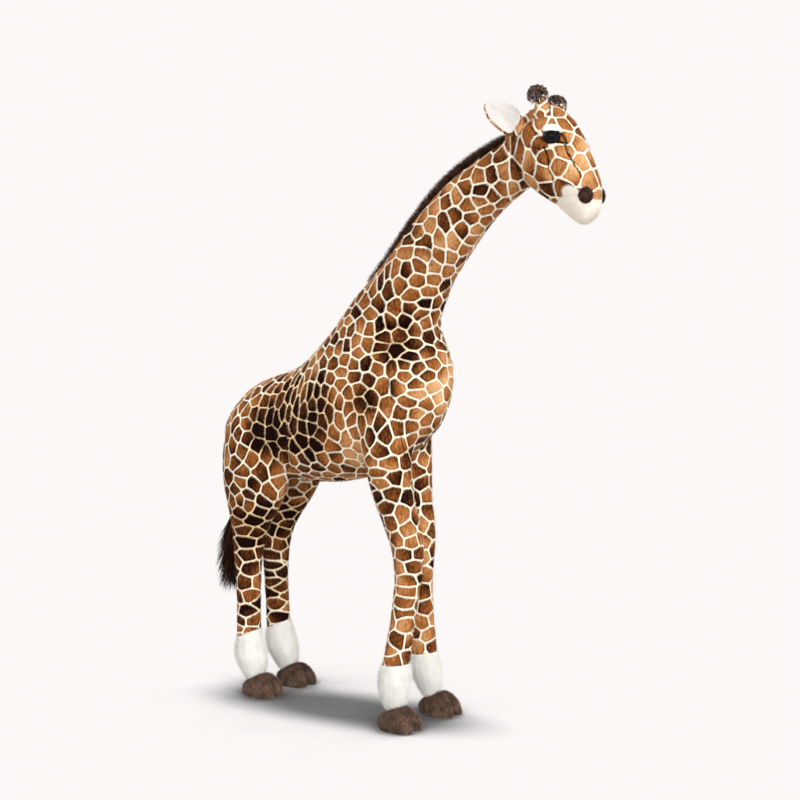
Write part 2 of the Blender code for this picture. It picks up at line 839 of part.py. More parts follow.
def make_clamp(shop, frame, pair, hoop_top, run):
    """A block that holds the spine tube across the top of a hoop."""
    height = 2 * (HOOP_RADIUS + SPINE_RADIUS) + CLAMP_WEB + 2 * CLAMP_WALL
    centre = hoop_top + UP * (SPINE_RADIUS + CLAMP_WEB / 2)
    place = aimed(centre, run, OUT)
    size = (height, CLAMP_WIDTH, CLAMP_LENGTH)
    clamp = add_part(shop, pair + "_clamp", box_mesh(pair + "_clamp", size), FRAME_STEEL, place=place)
    frame[pair + "_clamp_seat"] = swollen(shop, clamp)
    cut(clamp, frame[pair + "_channel"], frame["spine_channel"])


def make_foot(shop, leg, frame):
    """The hoof, its foot plate and the cuff above it, and the leg down to the cuff."""
    channel = frame[leg.name.split("_")[0] + "_channel"]
    plate_mesh = disc(leg.name + "_foot_plate", FOOT_PLATE_RADIUS, FOOT_PLATE_THICKNESS)
    seat = Matrix.Translation(leg.hoof + UP * FOOT_PLATE_HEIGHT)
    plate = add_part(shop, leg.name + "_foot_plate", plate_mesh, PLATE_BOARD, place=seat)

    hoof = add_part(shop, leg.name + "_hoof", hoof_mesh(leg), HOOF_PLUSH)
    soften(hoof)
    hoof_cutter = swollen(shop, hoof)
    floor = box_mesh(leg.name + "_floor", (HOOF_WIDTH * 2, HOOF_LENGTH * 2, CUT_OVERRUN))
    trim = add_cutter(
        shop, leg.name + "_floor", floor, Matrix.Translation(leg.hoof - UP * CUT_OVERRUN / 2)
    )
    cut(hoof, trim, channel, swollen(shop, plate))

    cuff = add_part(shop, leg.name + "_cuff", cuff_mesh(leg), WHITE_PLUSH)
    soften(cuff)
    cut(cuff, hoof_cutter, channel)
    return channel


def make_leg(shop, leg, torso_cutter, channel):
    upper = add_part(shop, leg.name + "_leg", leg_mesh(leg), PATTERNED_PLUSH)
    soften(upper)
    cut(upper, torso_cutter, channel)


def side_vector(vector, side):
    """A vector given for the left side, mirrored for the right."""
    return Vector((vector.x * side, vector.y, vector.z))


def ear_mesh(name, rows, thickness, lift, twist):
    """Flattened ovals across the ear, their edges cupped forward, one for each row. The ear
    twists between its root, which lies along the head, and its blade."""
    loops = []
    for way, width_share, thickness_share in rows:
        across = OUT * EAR_WIDTH * width_share / 2
        loop = oval(Vector(), across, UP * thickness * thickness_share / 2, LIMB_SIDES)
        reach = EAR_WIDTH / 2
        cupped = [p + UP * (lift + EAR_CUP_DEPTH * (p.x / reach) ** 2) for p in loop]
        turn = Matrix.Rotation(twist * min(max(way / EAR_TWIST_END_SHARE, 0), 1), 3, "Y")
        loops.append([turn @ p + BACK * EAR_LENGTH * way for p in cupped])
    return loft(name, loops)


def make_ear(shop, label, side):
    """An ear that folds about its sewn root. Returns the seat for the root in the head."""
    root = side_vector(Vector((EAR_ROOT_OUT, EAR_ROOT_BACK - MUZZLE_REACH, EAR_ROOT_HEIGHT)), side)
    along = side_vector(Vector(EAR_DIRECTION_SHARES), side).normalized()
    face = side_vector(Vector(EAR_FACING_SHARES), side)
    face = (face - along * face.dot(along)).normalized()
    across = along.cross(face)
    twist = -side * EAR_ROOT_TWIST
    turn = Matrix((across, along, face)).transposed().to_4x4() @ Matrix.Rotation(-twist, 4, "Y")
    hinge = bpy.data.objects.new(label + "_ear_hinge", None)
    hinge.parent = shop.stand
    hinge.matrix_local = Matrix.Translation(root) @ turn
    shop.parts.objects.link(hinge)

    shell_name = label + "_ear_shell"
    shell_mesh = ear_mesh(shell_name, EAR_SHELL_SHARES, EAR_SHELL_THICKNESS, 0, twist)
    shell = add_part(shop, shell_name, shell_mesh, PATTERNED_PLUSH, hinge)
    soften(shell)
    lift = (EAR_SHELL_THICKNESS + EAR_LINING_THICKNESS) / 2
    lining_name = label + "_ear_lining"
    lining_mesh = ear_mesh(lining_name, EAR_LINING_SHARES, EAR_LINING_THICKNESS, lift, twist)
    lining = add_part(shop, lining_name, lining_mesh, CREAM_PLUSH, hinge)
    soften(lining)
    cut(lining, swollen(shop, shell))

    seat_mesh = bmesh.new()
    bmesh.ops.create_cone(
        seat_mesh,
        cap_ends=True,
        segments=TURNED_STEPS,
        radius1=EAR_ROOT_RADIUS + SEAM_GAP,
        radius2=EAR_ROOT_RADIUS + SEAM_GAP,
        depth=EAR_WIDTH * EAR_SHELL_SHARES[1][1] + 2 * SEAM_GAP,
        matrix=Matrix.Rotation(math.pi / 2, 4, "Y"),
    )
    mesh = bpy.data.meshes.new(label + "_ear_seat")
    seat_mesh.to_mesh(mesh)
    seat_mesh.free()
    return add_cutter(shop, label + "_ear_seat", mesh, None, hinge)


def eye_profile(gap):
    """A domed eye on a shank, grown by a gap, from the top down. Its back is at zero height."""
    radius = EYE_RADIUS + gap
    steps = TURNED_STEPS // 4
    turns = [math.pi / 2 * step / steps for step in range(steps + 1)]
    rise = EYE_DOME_HEIGHT + 2 * gap
    dome = [(radius * math.sin(turn), rise * math.cos(turn) - gap) for turn in turns]
    shank = EYE_SHANK_RADIUS + gap
    foot = -EYE_SHANK_LENGTH - gap
    return [*dome, (shank, -gap), (shank, foot), (0, foot)]


def make_eye(shop, label, side, head_cutter):
    """A glossy eye, its lock washer and its eyelid pad. Returns what cuts the head."""
    place = side_vector(Vector((EYE_OUT, EYE_BACK - MUZZLE_REACH, EYE_HEIGHT)), side)
    seat = aimed(place, side_vector(Vector(EYE_FACING_SHARES), side), UP)
    add_part(shop, label + "_eye", turned(label + "_eye", eye_profile(0)), EYE_PLASTIC, place=seat)
    eye_seat = turned(label + "_eye_seat", eye_profile(SEAM_GAP))
    eye_cutter = add_cutter(shop, label + "_eye_seat", eye_seat, seat)

    washer_seat = seat @ Matrix.Translation(-UP * EYE_WASHER_DEPTH)
    bore = EYE_SHANK_RADIUS + SEAM_GAP
    washer_mesh = disc(label + "_eye_washer", EYE_WASHER_RADIUS, EYE_WASHER_THICKNESS, bore)
    add_part(shop, label + "_eye_washer", washer_mesh, WASHER_PLASTIC, place=washer_seat)
    room_thickness = EYE_WASHER_THICKNESS + 2 * SEAM_GAP
    room = disc(label + "_washer_room", EYE_WASHER_RADIUS + SEAM_GAP, room_thickness)
    room_seat = washer_seat @ Matrix.Translation(UP * SEAM_GAP)
    room_cutter = add_cutter(shop, label + "_washer_room", room, room_seat)

    lid_place = seat @ Matrix.Translation((0, EYELID_RISE, 0))
    lid_mesh = egg_mesh(label + "_upper_eyelid", (EYELID_RADIUS, EYELID_RISE, EYE_DOME_HEIGHT))
    lid = add_part(shop, label + "_upper_eyelid", lid_mesh, WHITE_PLUSH, place=lid_place)
    soften(lid)
    cut(lid, head_cutter, eye_cutter)
    return [eye_cutter, room_cutter]


def make_nostril(shop, label, side, head_cutter):
    place = side_vector(Vector((NOSTRIL_OUT, NOSTRIL_BACK - MUZZLE_REACH, NOSTRIL_HEIGHT)), side)
    seat = aimed(place, side_vector(Vector(NOSTRIL_FACING_SHARES), side), UP)
    sizes = (NOSTRIL_WIDTH / 2, NOSTRIL_LENGTH / 2, NOSTRIL_THICKNESS / 2)
    name = label + "_nostril"
    patch = add_part(shop, name, egg_mesh(name, sizes), DARK_PILE, place=seat)
    soften(patch)
    cut(patch, head_cutter)


def muzzle_ball(shop, name, gap):
    """A ball round the mouth. The seam between head and muzzle lies on it."""
    place = Matrix.Translation((0, MUZZLE_BACK - MUZZLE_REACH, MUZZLE_HEIGHT))
    return add_cutter(shop, name, ball_mesh(name, MUZZLE_RADIUS + gap), place)


def round_loops(levels):
    """Round loops about the frame's Z, one for each (height, radius)."""
    return [oval(UP * z, OUT * radius, BACK * radius, LIMB_SIDES) for z, radius in levels]


def make_horn(shop, label, side, head_cutter):
    set_back = LEFT_HORN_SET_BACK if side == LEFT else 0
    height = HORN_FOOT_HEIGHT - (LEFT_HORN_DROP if side == LEFT else 0)
    foot = side_vector(Vector((HORN_SPREAD, HORN_BACK - MUZZLE_REACH + set_back, height)), side)
    along = side_vector(Vector((HORN_LEAN, 0, HORN_LENGTH)), side)
    place = aimed(foot, along, BACK)
    name = label + "_horn"
    levels = [(HORN_LENGTH * way, HORN_RADIUS * size) for way, size in HORN_SHARES]
    stalk = add_part(shop, name, loft(name, round_loops(levels)), PATTERNED_PLUSH, place=place)
    soften(stalk)
    stalk_cutter = swollen(shop, stalk)
    cut(stalk, head_cutter)
    tuft_name = label + "_horn_tuft"
    levels = [
        (HORN_LENGTH + HORN_TUFT_HEIGHT * way, HORN_TUFT_RADIUS * size)
        for way, size in HORN_TUFT_SHARES
    ]
    tuft = add_part(shop, tuft_name, loft(tuft_name, round_loops(levels)), DARK_PILE, place=place)
    soften(tuft)
    cut(tuft, head_cutter, stalk_cutter)


def nape_point(way):
    """A point on the neck's nape, and the way out there, at a share of the way up."""
    base_across = Vector((0, math.cos(NECK_BASE_TILT), math.sin(NECK_BASE_TILT)))
    rows = [(neck_base(), base_across, NECK_BASE_DEPTH / 2)]
    rows += [(centre, across, half_depth) for centre, across, half_depth, _ in neck_centres()[:-1]]
    position = way * (len(rows) - 1)
    index = min(max(int(position), 0), len(rows) - 2)
    lower, upper = rows[index], rows[index + 1]
    centre = lower[0].lerp(upper[0], position - index)
    across = lower[1].lerp(upper[1], position - index).normalized()
    depth = lower[2] + (upper[2] - lower[2]) * (position - index)
    return centre + across * depth, across


def make_mane(shop, cutters):
    loops = []
    for way, height_share, width_share in MANE_SHARES:
        nape, across = nape_point(way)
        half_width = OUT * MANE_WIDTH * width_share / 2
        half_height = across * (MANE_HEIGHT * height_share + MANE_SINK)
        loops.append(oval(nape - across * MANE_SINK, half_width, half_height, LIMB_SIDES))
    mane = add_part(shop, "mane", loft("mane", loops), DARK_PILE)
    soften(mane)
    cut(mane, *cutters)


def make_tail(shop):
    """The tail on its ball-shaped root, and its tuft. Returns the root's seat in the torso."""
    hinge = bpy.data.objects.new("tail_hinge", None)
    hinge.parent = shop.stand
    hinge.location = (0, TORSO_LENGTH - CHEST_REACH + TAIL_ROOT_STAND_OFF, TAIL_ROOT_HEIGHT)
    shop.parts.objects.link(hinge)
    levels = [(TAIL_ROOT_RADIUS * way, TAIL_ROOT_RADIUS * size) for way, size in TAIL_ROOT_SHARES]
    levels += [
        (-TAIL_STALK_LENGTH * way, TAIL_STALK_RADIUS * size) for way, size in TAIL_STALK_SHARES
    ]
    stalk_mesh = loft("tail_stalk", round_loops(levels), sharp_end=1)
    soften(add_part(shop, "tail_stalk", stalk_mesh, PATTERNED_PLUSH, hinge))

    knot = bpy.data.objects.new("tail_tuft_hinge", None)
    knot.parent = hinge
    knot.location = -UP * TAIL_STALK_LENGTH
    shop.parts.objects.link(knot)
    levels = [
        (-SEAM_GAP - TAIL_TUFT_LENGTH * way, TAIL_TUFT_RADIUS * size)
        for way, size in TAIL_TUFT_SHARES
    ]
    soften(add_part(shop, "tail_tuft", loft("tail_tuft", round_loops(levels)), DARK_PILE, knot))
    seat = ball_mesh("tail_seat", TAIL_ROOT_RADIUS + SEAM_GAP)
    return add_cutter(shop, "tail_seat", seat, None, hinge)


def main():
    clear_scene()
    shop = set_up()
    frame = make_frame(shop)
    make_spine(shop, frame)

    torso = add_part(shop, "torso", torso_mesh(), PATTERNED_PLUSH)
    soften(torso)
    torso_cutter = swollen(shop, torso)
    neck = add_part(shop, "neck", neck_mesh(), PATTERNED_PLUSH)
    soften(neck)
    neck_cutter = swollen(shop, neck)
    head = add_part(shop, "head", head_mesh("head"), PATTERNED_PLUSH)
    soften(head)
    head_cutter = swollen(shop, head)
    muzzle = add_part(shop, "muzzle", head_mesh("muzzle"), CREAM_PLUSH)
    soften(muzzle)

    spine_cutters = [frame["spine_channel"], frame["rod_channel"]]
    clamp_seats = [frame["front_clamp_seat"], frame["rear_clamp_seat"]]
    hoop_channels = [frame["front_channel"], frame["rear_channel"]]
    torso_cuts = [*hoop_channels, *spine_cutters, *clamp_seats, make_tail(shop)]
    head_cuts = [muzzle_ball(shop, "muzzle_seam_outer", SEAM_GAP)]
    head_cuts += [frame["rod_channel"], frame["head_plate_seat"]]
    for label, side in SIDES:
        head_cuts.append(make_ear(shop, label, side))
        head_cuts += make_eye(shop, label, side, head_cutter)
        make_nostril(shop, label, side, head_cutter)
        make_horn(shop, label, side, head_cutter)

    for leg in legs():
        channel = make_foot(shop, leg, frame)
        make_leg(shop, leg, torso_cutter, channel)
    make_mane(shop, [neck_cutter, torso_cutter, head_cutter])

    cut(torso, *torso_cuts)
    cut(neck, head_cutter, *spine_cutters)
    cut_in_one(shop, head, *head_cuts)
    keep(muzzle, muzzle_ball(shop, "muzzle_seam_inner", 0))


main()
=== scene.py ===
"""A standing plush giraffe: the finish of every surface, its pile, mane, tufts and seams.

Laid out as an add-on and run as a script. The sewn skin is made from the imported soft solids,
then it is creased along its seams, printed with patches and covered in pile.
"""

import math

import bmesh
import bpy
import numpy as np
from bpy.props import FloatProperty, FloatVectorProperty, IntProperty, PointerProperty
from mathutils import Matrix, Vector, noise
from mathutils.bvhtree import BVHTree
from mathutils.kdtree import KDTree


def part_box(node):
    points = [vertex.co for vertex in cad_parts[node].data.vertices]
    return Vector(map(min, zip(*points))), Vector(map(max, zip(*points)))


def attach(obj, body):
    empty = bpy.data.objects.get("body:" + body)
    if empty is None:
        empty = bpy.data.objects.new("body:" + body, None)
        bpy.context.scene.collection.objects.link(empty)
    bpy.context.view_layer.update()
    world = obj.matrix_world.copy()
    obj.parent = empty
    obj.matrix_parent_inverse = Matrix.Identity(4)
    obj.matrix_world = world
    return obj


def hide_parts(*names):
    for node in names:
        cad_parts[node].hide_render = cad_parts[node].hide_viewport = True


bl_info = {
    "name": "Plush Giraffe",
    "version": (1, 0, 0),
    "blender": (4, 5, 0),
    "location": "3D View > Sidebar > Giraffe",
    "description": "Dresses a standing plush giraffe in printed pile fabric",
    "category": "Object",
}

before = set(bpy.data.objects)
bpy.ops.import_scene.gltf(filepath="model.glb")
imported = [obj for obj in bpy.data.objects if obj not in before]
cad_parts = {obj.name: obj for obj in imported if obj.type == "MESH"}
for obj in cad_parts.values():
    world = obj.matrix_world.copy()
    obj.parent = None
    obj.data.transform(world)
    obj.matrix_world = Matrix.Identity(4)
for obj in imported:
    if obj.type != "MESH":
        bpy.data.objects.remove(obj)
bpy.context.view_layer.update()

# The view of the photograph, in its pixels and in metres
PHOTO_SIDE = 800
FOCAL_PIXELS = 1480.2
SENSOR_WIDTH = 36.0
VIEW_PLACE = Vector((-2.68899, -2.10038, 1.032))
VIEW_SIGHT = Vector((0.78811, 0.60978, -0.08403))

# Pieces of the sewn skin, and the bodies of the others
LEGS = ("front_right_leg", "front_left_leg", "rear_right_leg", "rear_left_leg")
SKIN_NODES = ("torso", "neck", "head", "muzzle", *LEGS)
FEET = tuple(leg.removesuffix("_leg") for leg in LEGS)
SIDES = ("right", "left")
HIDDEN_FRAME = (
    *("front_leg_hoop", "rear_leg_hoop", "spine_tube", "neck_rod"),
    *("front_clamp", "rear_clamp", "head_plate"),
)

# Sewn lines and folds over the head and body, each as pixels of the photograph on the near
# side, and each with its depth and half width in metres and how dark it is: painted shade in
# the crease, and on sewn lines the thread's dark as well.
SEAM_LINES = {
    "nose seam": (((565, 144), (567, 152), (571, 158), (575, 166)), 0.0034, 0.0030, 0.97),
    "nose fold": (((577, 168), (580, 172), (581, 177)), 0.0026, 0.0030, 0.90),
    "cheek seam": (((543, 147), (547, 155), (548, 162), (548, 168)), 0.0034, 0.0032, 0.97),
    "jaw seam": (((549, 171), (552, 176), (553, 183)), 0.0026, 0.0030, 0.90),
    "eye corner": (((560, 133), (564, 136), (567, 143)), 0.0025, 0.0060, 0.97),
    "eye rim": (((558, 141), (562, 142), (566, 145)), 0.0015, 0.0050, 0.97),
    "brow seam": (((543, 141), (537, 135), (531, 128)), 0.0022, 0.0028, 0.62),
    "cheek fold": (((540, 150), (530, 147), (521, 145)), 0.0022, 0.0030, 0.60),
    "shoulder seam": (((388, 342), (387, 360), (388, 380), (392, 400)), 0.0040, 0.0032, 0.70),
    "shoulder fold": (((380, 326), (400, 325), (424, 333), (438, 345)), 0.0045, 0.0075, 0.45),
    "neck fold": (((384, 345), (404, 342), (424, 350)), 0.0040, 0.0065, 0.45),
    "throat fold": (((392, 308), (408, 314), (426, 322)), 0.0035, 0.0065, 0.40),
    "chest fold": (((404, 360), (420, 362), (436, 356)), 0.0025, 0.0070, 0.30),
    "neck crease": (((421, 236), (428, 250), (431, 266)), 0.0030, 0.0060, 0.45),
    "knee crease": (((414, 520), (421, 545), (423, 572), (419, 600)), 0.0025, 0.0035, 0.60),
    "leg seam": (((399, 424), (404, 448), (410, 476), (416, 500)), 0.0030, 0.0040, 0.75),
    "thigh fold": (((283, 425), (286, 446), (288, 470)), 0.0055, 0.0060, 0.70),
    "thigh dent": (((266, 398), (270, 420), (273, 446)), 0.0045, 0.0120, 0.50),
    "hock seam": (((264, 545), (266, 590), (266, 640)), 0.0020, 0.0030, 0.60),
}

# Lines darker than this are sewn, and show a thread's width of dark: the thread, and painted shade in
# its groove
SEWN = 0.80

# Places where shade is painted into the print, or below zero light: pixel, reach in metres, strength
PAINTED_SHADE_AND_LIGHT = (
    ((266, 430), 0.072, 1.35),
    ((310, 435), 0.060, 1.15),
    ((318, 402), 0.055, 0.80),
    ((288, 392), 0.060, 0.60),
    ((364, 402), 0.040, 1.00),
    ((395, 345), 0.060, 0.80),
    ((412, 300), 0.050, 0.30),
    ((408, 452), 0.030, 0.60),
    ((258, 500), 0.080, 0.15),
    ((296, 520), 0.080, 0.80),
    ((280, 590), 0.080, 0.35),
    ((255, 590), 0.080, 0.05),
    ((236, 430), 0.050, -0.35),
    ((440, 385), 0.060, -0.55),
    ((575, 160), 0.060, -0.80),
    ((542, 180), 0.016, 0.60),
    ((530, 175), 0.045, -0.20),
    ((400, 600), 0.120, -0.12),
    ((440, 225), 0.110, -0.22),
    ((362, 458), 0.056, -0.60),
)

# Places with other patches than the rest: middle and reach in metres, and how many times as
# many patches fit along x, y and z
PATCH_PLACES = (
    ((0.0, 0.19, 0.75), (0.30, 0.095, 0.15), (1.0, 1.65, 0.80)),
    ((0.0, 0.06, 0.57), (0.30, 0.16, 0.05), (1.0, 0.80, 1.20)),
    ((0.0, -0.06, 0.86), (0.30, 0.10, 0.05), (1.0, 1.0, 1.30)),
    ((0.0, 0.46, 0.72), (0.30, 0.06, 0.20), (1.0, 1.20, 0.95)),
    ((0.0, -0.46, 1.28), (0.20, 0.09, 0.12), (0.84, 0.84, 0.84)),
    ((0.0, -0.04, 0.30), (0.30, 0.12, 0.22), (0.75, 0.75, 1.0)),
    ((0.0, 0.38, 0.30), (0.30, 0.12, 0.20), (0.75, 0.75, 1.15)),
)

# How deep the panels are sewn together, as a share; the others keep a whole seam
SEAM_SHARES = {
    ("torso", "neck"): 0.10,
    ("neck", "head"): 0.80,
    ("head", "muzzle"): 0.0,
    **{("torso", leg): 0.22 for leg in LEGS[:2]},
    **{("torso", leg): 0.45 for leg in LEGS[2:]},
}

# How far on both sides of a seam the filling evens it out, in metres
SEAM_EASES = {
    ("torso", "neck"): 0.050,
    ("neck", "head"): 0.014,
    ("head", "muzzle"): 0.008,
    **{("torso", leg): 0.034 for leg in LEGS},
}

# Soft moves of the head's skin: middle, reach and move in metres
HEAD_MOVES = (
    ((0.0, -0.364, 1.392), (0.058, 0.032, 0.036), (0.0, 0.0, -0.022)),
    ((0.048, -0.390, 1.368), (0.022, 0.022, 0.020), (-0.010, 0.0, -0.009)),
    ((0.050, -0.450, 1.294), (0.030, 0.020, 0.010), (0.006, -0.002, -0.002)),
    ((0.050, -0.452, 1.352), (0.030, 0.026, 0.010), (0.006, -0.002, 0.0)),
)

# Where the head's print turns cream round the muzzle, and back to print on the nose
CREAM_PLACES = (
    ((569, 193), 0.017, 1.2),
    ((580, 196), 0.012, 0.8),
    ((603, 194), 0.013, -3.0),
    ((551, 146), 0.006, 1.3),
)

# How far the skin lies outside the solids, and how it is eased at its seams
SKIN_SWELL = 0.0004
SKIN_EASE_ROUNDS = 130
LEAST_EASE = 0.004

# The filling's unevenness: size in metres, place in the noise and share
LUMPS = ((0.035, 0.0, 0.6), (0.016, 9.0, 0.4))

# The distance in metres that stands for no sewn line near by
FAR_FROM_SEAMS = 0.02

# Strand width over its length, strands on a square metre of a small piece, and how deep the
# core under long hair lies
SKIN_STRAND = 0.19
SMALL_COVER = 420000.0
CORE_INSET = 0.0030

# About how many points of a piece the patches are laid out on
PRINT_SAMPLES = 40000

UP = Vector((0, 0, 1))


class SkinSettings(bpy.types.PropertyGroup):
    """How the skin is sewn, and how its patches are printed."""

    voxel: FloatProperty(
        name="Mesh size", description="Edge length of the skin", default=0.0031, unit="LENGTH"
    )
    crease_depth: FloatProperty(
        name="Crease depth", description="Where panels are sewn", default=0.0022, unit="LENGTH"
    )
    crease_width: FloatProperty(
        name="Crease width", description="Half width of a crease", default=0.0045, unit="LENGTH"
    )
    lump_height: FloatProperty(
        name="Lump height", description="Unevenness of the filling", default=0.0016, unit="LENGTH"
    )
    patch_size: FloatProperty(
        name="Patch size", description="Least size of a patch", default=0.030, unit="LENGTH"
    )
    line_width: FloatProperty(
        name="Line width", description="Pale line between patches", default=0.0042, unit="LENGTH"
    )
    seed: IntProperty(name="Seed", description="Order of the patches", default=7)


class PileSettings(bpy.types.PropertyGroup):
    """The short pile of the fabrics."""

    length: FloatProperty(
        name="Pile length", description="Length of the pile", default=0.0043, unit="LENGTH"
    )
    cover: FloatProperty(
        name="Strands", description="Strands on a square metre", default=300000.0
    )
    lean: FloatProperty(
        name="Lean", description="Rise of the pile over its length", default=0.36
    )
    spread: FloatProperty(
        name="Spread", description="How unevenly the pile lies", default=0.22
    )


class ColourSettings(bpy.types.PropertyGroup):
    """Colours of the fabrics."""

    line: FloatVectorProperty(
        name="Lines", description="Between the patches", subtype="COLOR", default=(0.95, 0.87, 0.70)
    )
    # Colour of the lines where shade is painted in
    shaded_line: FloatVectorProperty(
        name="Deep lines", description="In dark places", subtype="COLOR", default=(0.92, 0.67, 0.38)
    )
    # Sand shows where light is painted in, on the face and chest, and on the lightest ear and horn
    # patches
    sand: FloatVectorProperty(
        name="Sand", description="Patches on the face", subtype="COLOR", default=(0.82, 0.52, 0.27)
    )
    tan: FloatVectorProperty(
        name="Tan", description="Lightest patches", subtype="COLOR", default=(0.62, 0.31, 0.12)
    )
    rust: FloatVectorProperty(
        name="Rust", description="Light patches", subtype="COLOR", default=(0.33, 0.108, 0.025)
    )
    brown: FloatVectorProperty(
        name="Brown", description="Dark patches", subtype="COLOR", default=(0.080, 0.022, 0.006)
    )
    black: FloatVectorProperty(
        name="Black", description="Darkest patches", subtype="COLOR", default=(0.012, 0.003, 0.002)
    )
    white: FloatVectorProperty(
        name="White", description="Cuffs and eyelids", subtype="COLOR", default=(0.86, 0.85, 0.80)
    )
    ear: FloatVectorProperty(
        name="Ear", description="Ear linings", subtype="COLOR", default=(0.66, 0.62, 0.58)
    )
    cream: FloatVectorProperty(
        name="Cream", description="Muzzle panel", subtype="COLOR", default=(0.86, 0.79, 0.69)
    )
    hoof: FloatVectorProperty(
        name="Hoof", description="Hooves", subtype="COLOR", default=(0.075, 0.038, 0.026)
    )
    hoof_tip: FloatVectorProperty(
        name="Hoof tips",
        description="Pile of the hooves",
        subtype="COLOR",
        default=(0.27, 0.19, 0.14),
    )
    curl: FloatVectorProperty(
        name="Curl tips",
        description="Tips of the horn tufts",
        subtype="COLOR",
        default=(0.66, 0.50, 0.42),
    )
    tip: FloatVectorProperty(
        name="Hair tips",
        description="Tips of mane and tail",
        subtype="COLOR",
        default=(0.10, 0.045, 0.022),
    )
    dark: FloatVectorProperty(
        name="Dark hair", description="Mane and tufts", subtype="COLOR", default=(0.028, 0.014, 0.010)
    )


class StageSettings(bpy.types.PropertyGroup):
    """Floor, backdrop and lamps."""

    backdrop: FloatVectorProperty(
        name="Backdrop", description="Floor and backdrop", subtype="COLOR", default=(0.97, 0.94, 0.93)
    )
    key_strength: FloatProperty(name="Key lamp", description="Light from the front", default=3.1)
    top_strength: FloatProperty(name="Top lamp", description="Light from above", default=1.15)
    rim_strength: FloatProperty(name="Rim lamp", description="Light from behind", default=0.8)
    sky: FloatProperty(name="Sky", description="Even light from all round", default=0.66)


def settings():
    """The scene's four groups of settings."""
    scene = bpy.context.scene
    return scene.giraffe_skin, scene.giraffe_pile, scene.giraffe_colours, scene.giraffe_stage


# Meshes


def read(items, field, width, kind=float):
    """A field of a mesh's items as an array with a row for each item."""
    flat = np.zeros(len(items) * width, kind)
    items.foreach_get(field, flat)
    return flat.reshape(-1, width)


def points_of(mesh):
    """A mesh's vertices as an array."""
    return read(mesh.vertices, "co", 3)


def set_points(mesh, points):
    """Moves a mesh's vertices."""
    mesh.vertices.foreach_set("co", points.astype(np.float32).ravel())
    mesh.update()


def normals_of(mesh):
    """A mesh's vertex normals as an array."""
    return read(mesh.vertex_normals, "vector", 3)


def edges_of(mesh):
    """A mesh's edges as pairs of vertices."""
    return read(mesh.edges, "vertices", 2, int)


def quads_of(mesh):
    """The four corners of each face of a rewoven mesh."""
    return read(mesh.loops, "vertex_index", 1, int).reshape(-1, 4)


def put(mesh, name, values):
    """Stores a number or a vector for each vertex."""
    kind = "FLOAT_VECTOR" if values.ndim == 2 else "FLOAT"
    attribute = mesh.attributes.get(name) or mesh.attributes.new(name, kind, "POINT")
    field = "vector" if values.ndim == 2 else "value"
    attribute.data.foreach_set(field, values.astype(np.float32).ravel())


def cad_copy(node, swell=0.0):
    """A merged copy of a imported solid, grown by a little."""
    shape = bmesh.new()
    shape.from_mesh(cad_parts[node].data)
    bmesh.ops.remove_doubles(shape, verts=shape.verts, dist=1e-6)
    shape.normal_update()
    if swell:
        moves = [vertex.normal * swell for vertex in shape.verts]
        for vertex, move in zip(shape.verts, moves):
            vertex.co += move
    mesh = bpy.data.meshes.new(node + "_copy")
    shape.to_mesh(mesh)
    shape.free()
    return mesh


def evaluated_mesh(holder):
    """The plain mesh of an object with its modifiers, which are then dropped with it."""
    bpy.context.view_layer.update()
    graph = bpy.context.evaluated_depsgraph_get()
    mesh = bpy.data.meshes.new_from_object(holder.evaluated_get(graph))
    bpy.data.objects.remove(holder, do_unlink=True)
    return mesh


def rewoven(nodes, voxel, swell=0.0):
    """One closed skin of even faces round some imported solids."""
    shape = bmesh.new()
    for node in nodes:
        shape.from_mesh(cad_copy(node, swell))
    mesh = bpy.data.meshes.new("rewoven")
    shape.to_mesh(mesh)
    shape.free()
    holder = bpy.data.objects.new("rewoven", mesh)
    bpy.context.scene.collection.objects.link(holder)
    remesh = holder.modifiers.new("Remesh", "REMESH")
    remesh.mode = "VOXEL"
    remesh.voxel_size = voxel
    return evaluated_mesh(holder)


def unit_rows(rows):
    """Rows scaled to a length of one."""
    return rows / np.maximum(np.linalg.norm(rows, axis=1), 1e-6)[:, None]


def neighbour_mean(values, edges):
    """For each vertex the mean of its neighbours' values, each a number or a row."""
    first, second = edges.T
    size = len(values)
    count = np.maximum(np.bincount(edges.ravel(), minlength=size), 1)[:, None]
    total = [
        np.bincount(first, column[second], size) + np.bincount(second, column[first], size)
        for column in values.reshape(size, -1).T
    ]
    return (np.stack(total, 1) / count).reshape(values.shape)


def relaxed(points, edges, rounds, pull=0.5, push=-0.53):
    """Points eased towards their neighbours and back, which keeps the volume."""
    for step in range(rounds * 2):
        points = points + (neighbour_mean(points, edges) - points) * (push if step % 2 else pull)
    return points


def spread_values(values, edges, rounds):
    """Values for each vertex, blurred over the mesh."""
    for _ in range(rounds):
        values = (values + neighbour_mean(values, edges)) / 2
    return values


def field(points, size, offset=0.0):
    """Smooth noise from -1 to 1 at each point."""
    shift = Vector((offset, offset * 2, offset * 3))
    return np.array([noise.noise(Vector(p) / size + shift) for p in points])


def piece(name, mesh, *materials):
    """A finished piece at the origin, shaded smooth."""
    mesh.name = name
    mesh.materials.clear()
    for material in materials:
        mesh.materials.append(material)
    mesh.shade_smooth()
    made = bpy.data.objects.new(name, mesh)
    bpy.context.scene.collection.objects.link(made)
    return made


# The photograph's view


def view_axes():
    """Right and up of the photograph, as unit vectors."""
    sight = VIEW_SIGHT.normalized()
    right = sight.cross(UP).normalized()
    return right, right.cross(sight)


def pixel_ray(pixel):
    """The way from the view's place through a pixel of the photograph."""
    right, up = view_axes()
    across = (pixel[0] - PHOTO_SIDE / 2) / FOCAL_PIXELS
    down = (pixel[1] - PHOTO_SIDE / 2) / FOCAL_PIXELS
    return (VIEW_SIGHT.normalized() + right * across - up * down).normalized()


def seen_point(tree, pixel):
    """Where a pixel of the photograph lies on the skin."""
    hit = tree.ray_cast(VIEW_PLACE, pixel_ray(pixel))[0]
    if hit is None:
        hit = tree.find_nearest(VIEW_PLACE + pixel_ray(pixel) * VIEW_PLACE.length)[0]
    return hit


